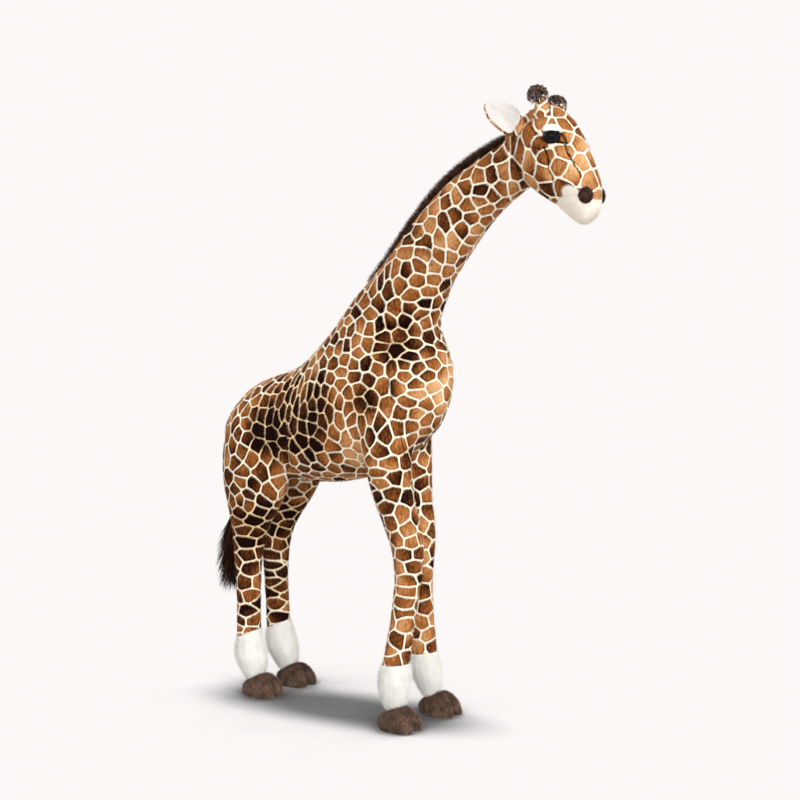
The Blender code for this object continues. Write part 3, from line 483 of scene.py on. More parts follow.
def mirrored(point):
    """A point on the other side of the animal."""
    return Vector((-point.x, point.y, point.z))


def seen_line(tree, pixels):
    """Points on the skin along a line of the photograph."""
    found = []
    for start, end in zip(pixels, pixels[1:]):
        for step in range(8):
            mix = [a + (b - a) * step / 8 for a, b in zip(start, end)]
            found.append(seen_point(tree, mix))
    found.append(seen_point(tree, pixels[-1]))
    return found


def near_line(points, line, reach):
    """Each point's distance to a line of close points, or a large number beyond its reach."""
    corners = np.array(line)
    low, high = corners.min(0) - reach, corners.max(0) + reach
    close = np.flatnonzero(np.all((points > low) & (points < high), axis=1))
    near = points[close]
    gap = np.full(len(near), np.inf)
    for start, end in zip(corners, corners[1:]):
        along = end - start
        share = np.clip((near - start) @ along / max(along @ along, 1e-12), 0, 1)
        gap = np.minimum(gap, np.linalg.norm(near - start - share[:, None] * along, axis=1))
    gaps = np.full(len(points), reach * 10)
    gaps[close] = gap
    return gaps


# Materials


class Shader:
    """A material's nodes, added one after another."""

    def __init__(self, name):
        self.material = bpy.data.materials.new(name)
        self.material.use_nodes = True
        self.tree = self.material.node_tree
        self.surface = self.tree.nodes["Principled BSDF"]

    def node(self, kind, **values):
        """A node with its settings."""
        made = self.tree.nodes.new(kind)
        for key, value in values.items():
            if hasattr(made, key):
                setattr(made, key, value)
        return made

    def link(self, source, target):
        """Joins two sockets."""
        self.tree.links.new(source, target)

    def attribute(self, name):
        """A number stored on the mesh."""
        return self.node("ShaderNodeAttribute", attribute_name=name).outputs["Fac"]

    def place(self):
        """The piece's own coordinates."""
        return self.node("ShaderNodeTexCoord").outputs["Object"]

    def math(self, operation, first, second=0.0):
        """One sum."""
        made = self.node("ShaderNodeMath", operation=operation)
        for socket, value in zip(made.inputs, (first, second)):
            if isinstance(value, (int, float)):
                socket.default_value = value
            else:
                self.link(value, socket)
        return made.outputs[0]

    def centred(self, value, reach):
        """Noise moved to both sides of zero, and scaled."""
        return self.math("MULTIPLY", self.math("SUBTRACT", value, 0.5), reach)

    def noise(self, scale, detail=2.0, stretch=(1.0, 1.0, 1.0)):
        """Noise over the piece, finer along the stretched axes."""
        mapping = self.node("ShaderNodeMapping")
        mapping.inputs["Scale"].default_value = stretch
        self.link(self.place(), mapping.inputs["Vector"])
        made = self.node("ShaderNodeTexNoise")
        made.inputs["Scale"].default_value = scale
        made.inputs["Detail"].default_value = detail
        self.link(mapping.outputs[0], made.inputs["Vector"])
        return made.outputs["Fac"]

    def ramp(self, value, low, high, start=0.0, end=1.0):
        """A smooth step of a value between two limits."""
        made = self.node("ShaderNodeMapRange", interpolation_type="SMOOTHSTEP")
        for socket, number in zip(made.inputs[1:5], (low, high, start, end)):
            socket.default_value = number
        self.link(value, made.inputs["Value"])
        return made.outputs["Result"]

    def mix(self, share, first, second, blend="MIX"):
        """Two colours mixed by a share."""
        made = self.node("ShaderNodeMix", data_type="RGBA", blend_type=blend)
        made.clamp_factor = True
        if isinstance(share, (int, float)):
            made.inputs["Factor"].default_value = share
        else:
            self.link(share, made.inputs["Factor"])
        for socket, colour in zip((made.inputs[6], made.inputs[7]), (first, second)):
            if isinstance(colour, bpy.types.NodeSocket):
                self.link(colour, socket)
            else:
                socket.default_value = (*colour, 1.0)
        return made.outputs[2]

    def grey(self, value):
        """A value as a grey colour."""
        made = self.node("ShaderNodeCombineColor")
        for socket in made.inputs:
            self.link(value, socket)
        return made.outputs[0]

    def shaded(self, colour, value):
        """A colour times a value."""
        return self.mix(1.0, colour, self.grey(value), "MULTIPLY")

    def finish(self, colour, roughness, bump=None, bump_height=0.0006, sheen=0.0):
        """Joins a colour and a bump to the surface."""
        self.link(colour, self.surface.inputs["Base Color"])
        self.surface.inputs["Roughness"].default_value = roughness
        self.surface.inputs["Specular IOR Level"].default_value = 0.04
        self.surface.inputs["Sheen Weight"].default_value = sheen
        self.surface.inputs["Sheen Roughness"].default_value = 0.45
        if bump is not None:
            made = self.node("ShaderNodeBump")
            made.inputs["Distance"].default_value = bump_height
            self.link(bump, made.inputs["Height"])
            self.link(made.outputs["Normal"], self.surface.inputs["Normal"])
        return self.material


def tint(colour, share):
    """A colour made lighter or darker."""
    return tuple(min(1.0, part * share) for part in colour)


def printed_plush(name, strands):
    """Rust and brown patches with pale lines between them, with painted shade and light, read from
    the skin's attributes.
    """
    skin, _, colours, _ = settings()
    shader = Shader(name)
    gap = shader.math("ADD", shader.attribute("edge_gap"), shader.centred(shader.noise(260), 0.0012))
    # depth: painted shade and, below zero, painted light on the body, a darker or lighter print on
    # the small pieces; it darkens the patches, narrows the lines and turns them tan
    depth = shader.attribute("depth")
    gap = shader.math("ADD", gap, shader.ramp(depth, 0.2, 1.2, 0.0, 0.0008))
    half = skin.line_width / 2
    inside = shader.ramp(gap, half - 0.0005, half + 0.0007)
    streak = shader.centred(shader.noise(210, 4.0, (1.0, 1.0, 0.45)), 1.5)
    tone = shader.math("ADD", shader.attribute("tone"), streak)
    tone = shader.math("ADD", tone, depth)
    tone = shader.math("ADD", tone, shader.ramp(gap, half, half + 0.0055, 0.30, 0.0))
    patch = colours.sand
    for low, high, colour in (
        (-1.10, -0.15, colours.tan),
        (-0.35, 0.40, colours.rust),
        (0.30, 0.95, colours.brown),
        (0.85, 1.45, colours.black),
    ):
        patch = shader.mix(shader.ramp(tone, low, high), patch, colour)
    # Lines turn tan where shade is painted in
    line = shader.mix(shader.ramp(depth, 0.1, 0.8), colours.line, colours.shaded_line)
    fleck = shader.ramp(shader.noise(900, 2.0), 0.35, 0.65, 0.84, 1.12)
    base = shader.mix(inside, line, patch)
    base = shader.mix(shader.attribute("cream"), base, colours.cream)
    base = shader.shaded(base, fleck)
    base = shader.shaded(base, shader.attribute("shade"))
    # A dark line along each sewn line: the thread, and painted shade in its groove
    waver = shader.centred(shader.noise(130, 3.0), 0.0065)
    sewn = shader.math("ADD", shader.attribute("seam_gap"), waver)
    base = shader.shaded(base, shader.ramp(sewn, 0.0006, 0.0026, 0.12, 1.0))
    if strands:
        tips = shader.ramp(shader.attribute("along"), 0.0, 1.0, 0.86, 1.12)
        return shader.finish(shader.shaded(base, tips), 0.9)
    return shader.finish(base, 0.9, shader.noise(700, 3.0), 0.0008)


def plain_plush(name, colour, strands=False, mottle=0.16, tip=None):
    """One colour of pile fabric, uneven as brushed pile is, with other tips if wanted."""
    shader = Shader(name)
    if tip:
        colour = shader.mix(shader.ramp(shader.attribute("along"), 0.0, 0.6), colour, tip)
    broad = shader.ramp(shader.noise(55, 3.0), 0.3, 0.7, 1.0 - mottle, 1.0 + mottle * 0.4)
    fine = shader.ramp(shader.noise(800, 2.0), 0.3, 0.7, 1.0 - mottle, 1.0 + mottle * 0.5)
    base = colour
    for value in (broad, fine, shader.attribute("shade")):
        base = shader.shaded(base, value)
    bump = None if strands else shader.noise(650, 3.0)
    return shader.finish(base, 0.9, bump, 0.0009, sheen=0.05)


def printed_finishes():
    """The printed fabric's two finishes, of its skin and of its pile."""
    return [bpy.data.materials["patterned_plush_" + kind] for kind in ("skin", "pile")]


def eye_plastic():
    """Glossy black with a breath of deep blue and brown in it, painted in clouds as a reflection."""
    shader = Shader("eye_gloss")
    painted_reflection = shader.ramp(shader.noise(190, 3.0), 0.48, 0.70)
    base = shader.mix(painted_reflection, (0.002, 0.002, 0.003), (0.018, 0.017, 0.030))
    material = shader.finish(base, 0.16)
    shader.surface.inputs["Specular IOR Level"].default_value = 0.10
    return material


def steel():
    """Drawn steel with faint marks along it."""
    shader = Shader("frame_steel_drawn")
    marks = shader.ramp(shader.noise(400, 3.0, (1.0, 1.0, 0.05)), 0.3, 0.7)
    base = shader.mix(marks, (0.38, 0.39, 0.41), (0.52, 0.53, 0.55))
    shader.surface.inputs["Metallic"].default_value = 1.0
    return shader.finish(base, 0.38, marks, 0.0001)


def board(name, dark, light):
    """Pressed board or plastic with a grain."""
    shader = Shader(name)
    grain = shader.ramp(shader.noise(300, 4.0, (1.0, 0.2, 1.0)), 0.3, 0.7)
    return shader.finish(shader.mix(grain, dark, light), 0.7, grain, 0.0002)


# The skin


def node_gaps(points, nodes):
    """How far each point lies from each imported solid."""
    gaps = []
    for node in nodes:
        shape = bmesh.new()
        shape.from_mesh(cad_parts[node].data)
        tree = BVHTree.FromBMesh(shape)
        shape.free()
        gaps.append([tree.find_nearest(p)[3] for p in points.tolist()])
    return np.array(gaps)


def patch_scales(points):
    """How many patches fit in a metre along x, y and z at each point."""
    skin, _, _, _ = settings()
    scales = np.full(points.shape, 1 / skin.patch_size)
    stretch = field(points, 0.075, 4.0)
    scales[:, 1] *= np.exp(0.55 * stretch)
    scales[:, 2] *= np.exp(-0.55 * stretch)
    for middle, reach, factors in PATCH_PLACES:
        gap = (points - np.array(middle)) / np.array(reach)
        share = np.exp(-np.sum(gap * gap, axis=1))[:, None]
        scales *= 1 + share * (np.array(factors) - 1)
    return scales


def patches(points, scales, seed):
    """The patch middles over some points, about a patch apart, then evened out once."""
    draw = np.random.default_rng(seed)
    order = draw.permutation(len(points))
    wanted = draw.uniform(0.72, 1.12, len(points))
    free = np.ones(len(points), bool)
    middles = []
    for start in order:
        if not free[start]:
            continue
        reach = np.linalg.norm((points - points[start]) * scales[start], axis=1)
        free &= reach > wanted[start]
        middles.append(start)
    middles = points[middles]
    nearest = nearest_patches(points, scales, middles)[0][:, 0]
    count = np.bincount(nearest, minlength=len(middles))
    total = np.stack([np.bincount(nearest, points[:, k], len(middles)) for k in range(3)], 1)
    found = count > 0
    middles[found] = total[found] / count[found, None]
    return middles


def nearest_patches(points, scales, middles, count=9):
    """The nearest patch middles of each point, and how far each is, in patches."""
    tree = KDTree(len(middles))
    for index, middle in enumerate(middles):
        tree.insert(middle, index)
    tree.balance()
    count = min(count, len(middles))
    found = np.array([[hit[1] for hit in tree.find_n(p, count)] for p in points.tolist()])
    reach = np.linalg.norm((points[:, None] - middles[found]) * scales[:, None], axis=2)
    order = np.argsort(reach, axis=1)
    return np.take_along_axis(found, order, 1), np.take_along_axis(reach, order, 1)


def printed_patches(points, scales, seed, round_off=0.0009):
    """Each point's distance to the edge of its patch, and how dark the patch is there."""
    step = max(1, len(points) // PRINT_SAMPLES)
    middles = patches(points[::step], scales[::step], seed)
    found, reach = nearest_patches(points, scales, middles)
    own = middles[found[:, 0]]
    gap = np.zeros(len(points))
    for rank in range(1, found.shape[1]):
        other = middles[found[:, rank]]
        way = (other - own) * scales
        length = np.maximum(np.linalg.norm(way, axis=1), 1e-6)
        slope = np.linalg.norm(way / length[:, None] * scales, axis=1)
        edge = (reach[:, rank] ** 2 - reach[:, 0] ** 2) / (2 * length) / slope
        gap += np.exp(-edge / round_off)
    gap = -round_off * np.log(np.maximum(gap, 1e-30))
    draw = np.random.default_rng(seed + 1)
    base = draw.beta(1.1, 1.7, len(middles)) * 1.2 - 0.05
    lean = draw.normal(size=(len(middles), 3)) * 14.0
    tone = base[found[:, 0]] + np.sum((points - own) * lean[found[:, 0]], axis=1)
    return gap, np.clip(tone, -0.2, 1.3)


def comb(points, normals, owner):
    """The way the pile lies at each point: down the legs and back along the body and neck."""
    way = np.zeros_like(points)
    way[:] = (0.0, 0.75, -0.65)
    for node, lie in (
        *((leg, (0.0, 0.12, -1.0)) for leg in LEGS),
        ("neck", (0.0, 0.66, -0.75)),
        ("head", (0.0, 0.80, 0.60)),
        ("muzzle", (0.0, 0.60, 0.10)),
    ):
        way[owner == SKIN_NODES.index(node)] = lie
    swirl = np.stack([field(points, 0.05, k * 7.0) for k in (1, 2, 3)], 1)
    way = way + swirl * 0.55
    return unit_rows(way - normals * np.sum(way * normals, axis=1)[:, None])


def eased(points, edges, weight, rounds):
    """Points drawn towards their neighbours, each by its own weight."""
    zone = weight > 0.01
    near = edges[zone[edges].any(axis=1)]
    used, pairs = np.unique(near, return_inverse=True)
    pairs = pairs.reshape(near.shape)
    spots = points[used]
    pull = np.where(zone[used], weight[used], 0)[:, None] / 2
    for _ in range(rounds):
        spots = spots + (neighbour_mean(spots, pairs) - spots) * pull
    points = points.copy()
    points[used] = spots
    return points


def pair_values(gaps, table, rest):
    """For each point the table's value for the two panels nearest to it, or the rest's."""
    values = np.full((len(SKIN_NODES), len(SKIN_NODES)), float(rest))
    for pair, value in table.items():
        first, second = (SKIN_NODES.index(node) for node in pair)
        values[first, second] = values[second, first] = value
    order = np.argsort(gaps, axis=0)
    return values[order[0], order[1]]


def moulded(points, places):
    """Points pushed by soft round moves, the same on both sides of the animal."""
    total = np.zeros_like(points)
    for middle, reach, move in places:
        for side in (1, -1) if abs(middle[0]) > 1e-6 else (1,):
            turn = np.array((side, 1, 1))
            gap = (points - np.array(middle) * turn) / np.array(reach)
            total += bell(np.linalg.norm(gap, axis=1), 1.0)[:, None] * np.array(move) * turn
    return points + total


def settled_on_seams(points, edges, gaps, owner):
    """Moves the points beside each seam onto it, so that it runs smoothly."""
    first, second = edges[owner[edges[:, 0]] != owner[edges[:, 1]]].T
    ahead = gaps[owner[second], first] - gaps[owner[first], first]
    behind = gaps[owner[first], second] - gaps[owner[second], second]
    share = np.clip(ahead / np.maximum(ahead + behind, 1e-9), 0, 1)
    crossing = points[first] + (points[second] - points[first]) * share[:, None]
    moved = np.where(share < 0.5, first, second)
    count = np.bincount(moved, minlength=len(points))
    found = count > 0
    for axis in range(3):
        total = np.bincount(moved, crossing[:, axis], len(points))
        points[found, axis] = total[found] / count[found]
    return points


def panel_of(points, faces, face_owner, index):
    """One panel of the skin as a closed mesh whose open edges are drawn to points inside.
    Returns it with the skin's vertex that each of its own comes from."""
    mine = faces[face_owner == index]
    ways = np.stack([mine, np.roll(mine, -1, axis=1)], 2).reshape(-1, 2)
    keys = ways[:, 0].astype(np.int64) * len(points) + ways[:, 1]
    backs = ways[:, 1].astype(np.int64) * len(points) + ways[:, 0]
    open_ways = ways[~np.isin(keys, backs)]
    used = np.unique(mine)
    place = np.full(len(points), -1)
    place[used] = np.arange(len(used))
    group = joined_groups(open_ways)
    rings = [open_ways[group == label] for label in np.unique(group)]
    tips = [points[np.unique(ring)].mean(0) for ring in rings]
    corners = [tuple(face) for face in place[mine].tolist()]
    for number, ring in enumerate(rings):
        tip = len(used) + number
        corners.extend((place[end], place[start], tip) for start, end in ring.tolist())
    mesh = bpy.data.meshes.new("panel")
    mesh.from_pydata(np.concatenate([points[used], np.array(tips).reshape(-1, 3)]), [], corners)
    sources = np.concatenate([used, [ring[0, 0] for ring in rings]]).astype(int)
    return mesh, sources


def joined_groups(ways):
    """A number for each edge, the same for edges that share vertices."""
    lead = {}

    def find(vertex):
        while lead.setdefault(vertex, vertex) != vertex:
            vertex = lead[vertex]
        return vertex

    for start, end in ways.tolist():
        lead[find(start)] = find(end)
    return np.array([find(start) for start in ways[:, 0].tolist()])


def owners_of_faces(faces, owner):
    """The panel that most of each face's corners belong to."""
    votes = np.stack([(owner[faces] == index).sum(1) for index in range(len(SKIN_NODES))], 1)
    return np.argmax(votes, axis=1)


def crease_skin(points, normals, gaps, tree):
    """Sinks the seams between panels and the sewn lines. Returns the points, how dark each is,
    as painted shade in the creases and folds and the dark of the sewn threads, and how far from a
    sewn line."""
    skin, _, _, _ = settings()
    nearest, second = np.sort(gaps, axis=0)[:2]
    share = pair_values(gaps, SEAM_SHARES, 1)
    sink = share * skin.crease_depth * bell(second - nearest, skin.crease_width)
    # Painted shade in the crease where panels are sewn together
    dark = share * 0.62 * bell(second - nearest, skin.crease_width * 0.55)
    seam_gap = np.full(len(points), FAR_FROM_SEAMS)
    for pixels, depth, width, darkness in SEAM_LINES.values():
        line = seen_line(tree, pixels)
        for side in (line, [mirrored(point) for point in line]):
            gap = near_line(points, side, FAR_FROM_SEAMS)
            sink = np.maximum(sink, depth * bell(gap, width))
            # Painted shade along each fold, and on sewn lines the thread's dark as well
            dark = np.maximum(dark, darkness * bell(gap, width * 0.6))
            if darkness > SEWN:
                seam_gap = np.minimum(seam_gap, gap)
    return points - normals * sink[:, None], dark, seam_gap


def bell(gap, reach):
    """A smooth share that falls from one to none around a reach."""
    return np.exp(-((gap / reach) ** 2))


def seen_shares(points, tree, places):
    """The sum of soft round places, set on the skin on both sides of the animal."""
    total = np.zeros(len(points))
    for pixel, reach, strength in places:
        place = seen_point(tree, pixel)
        sides = (place, mirrored(place)) if abs(place.x) > reach / 3 else (place,)
        for middle in sides:
            gap = np.linalg.norm(points - np.array(middle), axis=1)
            total += strength * bell(gap, reach)
    return total


def dress(made, body="body", replaces=()):
    """Sets what a piece rides on and stands for."""
    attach(made, body)
    if replaces:
        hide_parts(*replaces)
    return made


def pile_tree():
    """Nodes that set strands on a mesh, one to each random point, lying along its comb."""
    name = "Pile on fabric"
    if name in bpy.data.node_groups:
        return bpy.data.node_groups[name]
    tree = bpy.data.node_groups.new(name, "GeometryNodeTree")
    for label, kind in (
        ("Fabric", "Geometry"),
        ("Strand", "Object"),
        ("Strands per square metre", "Float"),
        ("Length", "Float"),
        ("Length spread", "Float"),
        ("Lay spread", "Float"),
        ("Twist", "Float"),
        ("Seed", "Int"),
        ("Finish", "Material"),
    ):
        tree.interface.new_socket(label, in_out="INPUT", socket_type="NodeSocket" + kind)
    tree.interface.new_socket("Pile", in_out="OUTPUT", socket_type="NodeSocketGeometry")

    def node(kind, sockets, **values):
        """A node with its settings, each given socket joined to another or set to a value."""
        made = tree.nodes.new(kind)
        for key, value in values.items():
            setattr(made, key, value)
        for key, value in sockets.items():
            if isinstance(value, bpy.types.NodeSocket):
                tree.links.new(value, made.inputs[key])
            else:
                made.inputs[key].default_value = value
        return made

    def stored(label, kind="FLOAT"):
        """An attribute stored on the mesh or its points."""
        return node("GeometryNodeInputNamedAttribute", {"Name": label}, data_type=kind).outputs[0]

    def total(operation, first, second):
        """One sum."""
        return node("ShaderNodeMath", {0: first, 1: second}, operation=operation).outputs[0]

    def moved(operation, first, key, second):
        """One sum of vectors."""
        made = node("ShaderNodeVectorMath", {0: first, key: second}, operation=operation)
        return made.outputs[0]

    given = node("NodeGroupInput", {}).outputs
    density = total("MULTIPLY", given["Strands per square metre"], stored("cover"))
    scatter = node(
        "GeometryNodeDistributePointsOnFaces",
        {"Mesh": given["Fabric"], "Density": density, "Seed": given["Seed"]},
        distribute_method="RANDOM",
    )
    keep = node(
        "GeometryNodeStoreNamedAttribute",
        {"Name": "nap", "Geometry": scatter.outputs["Points"], "Value": scatter.outputs["Normal"]},
        data_type="FLOAT_VECTOR",
        domain="POINT",
    )
    stray = node(
        "FunctionNodeRandomValue",
        {0: (-1.0, -1.0, -1.0), 1: (1.0, 1.0, 1.0), "Seed": given["Seed"]},
        data_type="FLOAT_VECTOR",
    )
    loose = moved("SCALE", stray.outputs[0], "Scale", given["Lay spread"])
    way = moved("ADD", stored("lay", "FLOAT_VECTOR"), 1, loose)
    along = node("FunctionNodeAlignRotationToVector", {"Vector": way}, axis="Z")
    flat = node(
        "FunctionNodeAlignRotationToVector",
        {"Rotation": along.outputs[0], "Vector": stored("nap", "FLOAT_VECTOR")},
        axis="X",
        pivot_axis="Z",
    )
    turn = node("FunctionNodeRandomValue", {2: -1.0, 3: 1.0}, data_type="FLOAT")
    twist = total("MULTIPLY", turn.outputs[1], given["Twist"])
    around = node("FunctionNodeAxisAngleToRotation", {"Axis": (0.0, 0.0, 1.0), "Angle": twist})
    turned = node(
        "FunctionNodeRotateRotation",
        {"Rotation": flat.outputs[0], "Rotate By": around.outputs[0]},
        rotation_space="LOCAL",
    )
    low = total("SUBTRACT", 1.0, given["Length spread"])
    high = total("ADD", 1.0, given["Length spread"])
    uneven = node("FunctionNodeRandomValue", {2: low, 3: high}, data_type="FLOAT")
    size = total("MULTIPLY", uneven.outputs[1], given["Length"])
    reach = total("MULTIPLY", size, stored("reach"))
    strand = node("GeometryNodeObjectInfo", {"Object": given["Strand"]}, transform_space="ORIGINAL")
    grow = node(
        "GeometryNodeInstanceOnPoints",
        {
            "Points": keep.outputs[0],
            "Instance": strand.outputs["Geometry"],
            "Rotation": turned.outputs[0],
            "Scale": reach,
        },
    )
    real = node("GeometryNodeRealizeInstances", {0: grow.outputs[0]})
    paint = node(
        "GeometryNodeSetMaterial", {"Geometry": real.outputs[0], "Material": given["Finish"]}
    )
    node("NodeGroupOutput", {0: paint.outputs[0]})
    return tree


def strand_object(name, width, segments=1, arc=0.0, sway=0.0):
    """One strand of unit length along z, as a tapered strip that bends through an angle."""
    places, corners, shares = [], [], []
    for step in range(segments + 1):
        t = step / segments
        if arc:
            middle = (1 - math.cos(arc * t), 0.0, math.sin(arc * t))
            middle = [part / arc for part in middle]
        else:
            middle = [0.0, 0.0, t]
        middle[1] += sway * math.sin(t * math.tau)
        half = width / 2 * (1 - t) ** 0.6
        for side in (-1, 1) if step < segments else (0,):
            places.append((middle[0], middle[1] + side * half, middle[2]))
            shares.append(t)
    for step in range(segments):
        low = step * 2
        last = step == segments - 1
        corners.append((low, low + 1, low + 2) if last else (low, low + 1, low + 3, low + 2))
    mesh = bpy.data.meshes.new(name)
    mesh.from_pydata(places, [], corners)
    put(mesh, "along", np.array(shares))
    made = bpy.data.objects.new(name, mesh)
    bpy.context.scene.collection.objects.link(made)
    return made


def grow_pile(name, fabric, strand, finish, cover, length, uneven, stray, twist, seed, soft=0.85):
    """A plain mesh of strands over a fabric mesh that has its comb, cover and reach stored."""
    holder = bpy.data.objects.new(name, fabric)
    bpy.context.scene.collection.objects.link(holder)
    modifier = holder.modifiers.new("Pile", "NODES")
    tree = pile_tree()
    modifier.node_group = tree
    values = {
        "Strand": strand,
        "Finish": finish,
        "Strands per square metre": cover,
        "Length": length,
        "Length spread": uneven,
        "Lay spread": stray,
        "Twist": twist,
        "Seed": seed,
    }
    for item in tree.interface.items_tree:
        if item.in_out == "INPUT" and item.name in values:
            modifier[item.identifier] = values[item.name]
    mesh = evaluated_mesh(holder)
    nap = read(mesh.attributes["nap"].data, "vector", 3, np.float32)
    nap = unit_rows(nap * soft + normals_of(mesh) * (1 - soft))
    made = piece(name, mesh, finish)
    for label in ("nap", "lay", "cover", "reach"):
        mesh.attributes.remove(mesh.attributes[label])
    mesh.normals_split_custom_set_from_vertices(nap.tolist())
    return made


# The small pieces, the hair and the stage


def sew_small(
    node, finish, hair, slot, length, strand, way, seed,
    body="body", voxel=0.0022, mould=None, depth=0.0, shaded=None, patch=1.0,
):
    """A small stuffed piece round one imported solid, moulded if wanted, with its pile."""
    skin, _, _, _ = settings()
    mesh = rewoven((node,), voxel)
    points = relaxed(points_of(mesh), edges_of(mesh), 4)
    low, high = (np.array(corner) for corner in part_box(node))
    if mould:
        points = mould(points, low, high)
    points[:, 2] = np.maximum(points[:, 2], 0)
    set_points(mesh, points)
    normals = normals_of(mesh)
    if slot == "patterned_plush":
        scales = np.full(points.shape, 1 / (patch * skin.patch_size))
        edge_gap, tone = printed_patches(points, scales, skin.seed + seed)
        put(mesh, "edge_gap", edge_gap)
        put(mesh, "tone", tone)
        put(mesh, "depth", np.full(len(points), depth))
        put(mesh, "seam_gap", np.full(len(points), FAR_FROM_SEAMS))
    shade = shaded(points, low, high) if shaded else np.ones(len(points))
    put(mesh, "shade", shade)
    lie = unit_rows(np.array(way) - normals * (normals @ np.array(way))[:, None])
    put(mesh, "lay", lie * 0.6 + normals * 0.4)
    resting = (normals[:, 2] < -0.7) | (points[:, 2] < 0.0015)
    put(mesh, "cover", np.where(resting, 0.0, 1.0))
    put(mesh, "reach", np.clip(np.minimum(shade * 1.2, points[:, 2] / length), 0.15, 1.0))
    grown = grow_pile(
        node + "_pile", mesh.copy(), strand, hair,
        SMALL_COVER, length, 0.3, 0.35, 0.6, seed + 21,
    )
    dress(grown, body)
    made = piece(node + "_plush", mesh, finish)
    return dress(made, body, (node,))


def scaled(points, low, high, factors):
    """Points scaled about the middle of their box."""
    middle = (low + high) / 2
    return middle + (points - middle) * factors


def front_cuff(points, low, high):
    """A cuff gathered in over the hoof."""
    middle, down = (low + high) / 2, (high[2] - points[:, 2]) / (high[2] - low[2])
    grow = 1.03 - 0.23 * np.clip((down - 0.5) / 0.4, 0, 1) ** 1.5
    points[:, :2] = middle[:2] + (points[:, :2] - middle[:2]) * grow[:, None]
    return points


def rear_cuff(points, low, high):
    """A gathered cuff whose upper edge rises to the front."""
    points = front_cuff(points, low, high)
    ahead = np.clip((high[1] - points[:, 1]) / (high[1] - low[1]), 0, 1)
    up = np.clip((points[:, 2] - low[2]) / (high[2] - low[2]), 0, 1)
    points[:, 2] += 0.032 * (ahead - 0.2) * up**2
    return points


def low_hoof(points, low, high):
    """A hoof that slopes down to its toes, with its cleft cut in."""
    middle = (low + high) / 2
    ahead = (middle[1] - points[:, 1]) / (high[1] - low[1]) * 2
    slope = 1 - 0.30 * np.clip(ahead + 0.1, 0, 1.2)
    points[:, 2] = low[2] + (points[:, 2] - low[2]) * slope
    cleft = bell(points[:, 0] - middle[0], 0.0042) * np.clip(ahead * 2 - 0.3, 0, 1)
    points[:, 1] += 0.010 * cleft
    points[:, 2] -= 0.006 * cleft * (points[:, 2] > low[2] + 0.008)
    return points


def cleft_shade(points, low, high):
    """How dark a hoof is in its cleft."""
    middle = (low + high) / 2
    ahead = (middle[1] - points[:, 1]) / (high[1] - low[1]) * 2
    cleft = bell(points[:, 0] - middle[0], 0.0034) * np.clip(ahead * 2 - 0.3, 0, 1)
    return 1 - 0.85 * cleft


def large_ear(points, low, high):
    """A larger and lower ear with a raised tip, whose front stays clear of the head."""
    root = np.array((math.copysign(0.050, low[0]), -0.335, 1.342))
    points = root + (points - root) * (1.08, 1.24, 1.08) + (0.0, -0.010, -0.0165)
    points[:, 2] += 0.006 * bell(points[:, 1] - points[:, 1].max(), 0.012)
    front = np.clip((-0.356 - points[:, 1]) / 0.028, 0, 1)
    points[:, 0] += math.copysign(0.010, low[0]) * front
    return points


def wide_lining(points, low, high):
    """An ear's lining drawn out nearly to the rim of its shell."""
    return large_ear(scaled(points, low, high, (1.0, 1.22, 1.13)), low, high)


def large_nostril(points, low, high):
    """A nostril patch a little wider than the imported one."""
    return scaled(points, low, high, (1.05, 1.20, 1.15))


def back_tuft(points, low, high):
    """A horn's tuft set back on its stalk."""
    return scaled(points, low, high, (0.95, 0.95, 0.90)) + (0.0, 0.006, 0.002)


def broad_horn(points, low, high):
    """A horn stalk that spreads into the forehead and shows before its tuft."""
    middle = (low + high) / 2
    down = np.clip((high[2] - points[:, 2]) / (high[2] - low[2]), 0, 1)
    spread = 0.92 + 0.15 * down + 0.65 * down**3
    points[:, :2] = middle[:2] + (points[:, :2] - middle[:2]) * spread[:, None]
    points[:, 0] -= math.copysign(0.010, low[0]) * down**3
    points[:, 1] += 0.012 * down**3 - 0.003
    points[:, 2] += 0.007 * (1 - down) - 0.016 * down**2
    return points


def hair_on(node, finish, hair, strand, length, cover, way, stray, seed, body, mould=None):
    """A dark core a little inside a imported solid, with long hair that fills its shape."""
    mesh = rewoven((node,), 0.0022)
    points = relaxed(points_of(mesh), edges_of(mesh), 3)
    low, high = (np.array(corner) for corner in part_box(node))
    if mould:
        points = mould(points, low, high)
    set_points(mesh, points)
    normals = normals_of(mesh)
    points = points - normals * CORE_INSET
    set_points(mesh, points)
    put(mesh, "shade", np.ones(len(points)))
    put(mesh, "lay", unit_rows(np.array(way) + normals * 0.35))
    put(mesh, "cover", np.ones(len(points)))
    room = points[:, 2] - low[2] if way[2] < -0.5 else np.full(len(points), length)
    put(mesh, "reach", np.clip(room / length, 0.2, 1.0))
    grown = grow_pile(
        node + "_hair", mesh.copy(), strand, hair,
        cover, length, 0.35, stray, math.pi, seed, soft=0.75,
    )
    dress(grown, body)
    made = piece(node + "_core", mesh, finish)
    return dress(made, body, (node,))


def paint_node(node, finish):
    """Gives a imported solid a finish."""
    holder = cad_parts[node]
    holder.data.materials.clear()
    holder.data.materials.append(finish)


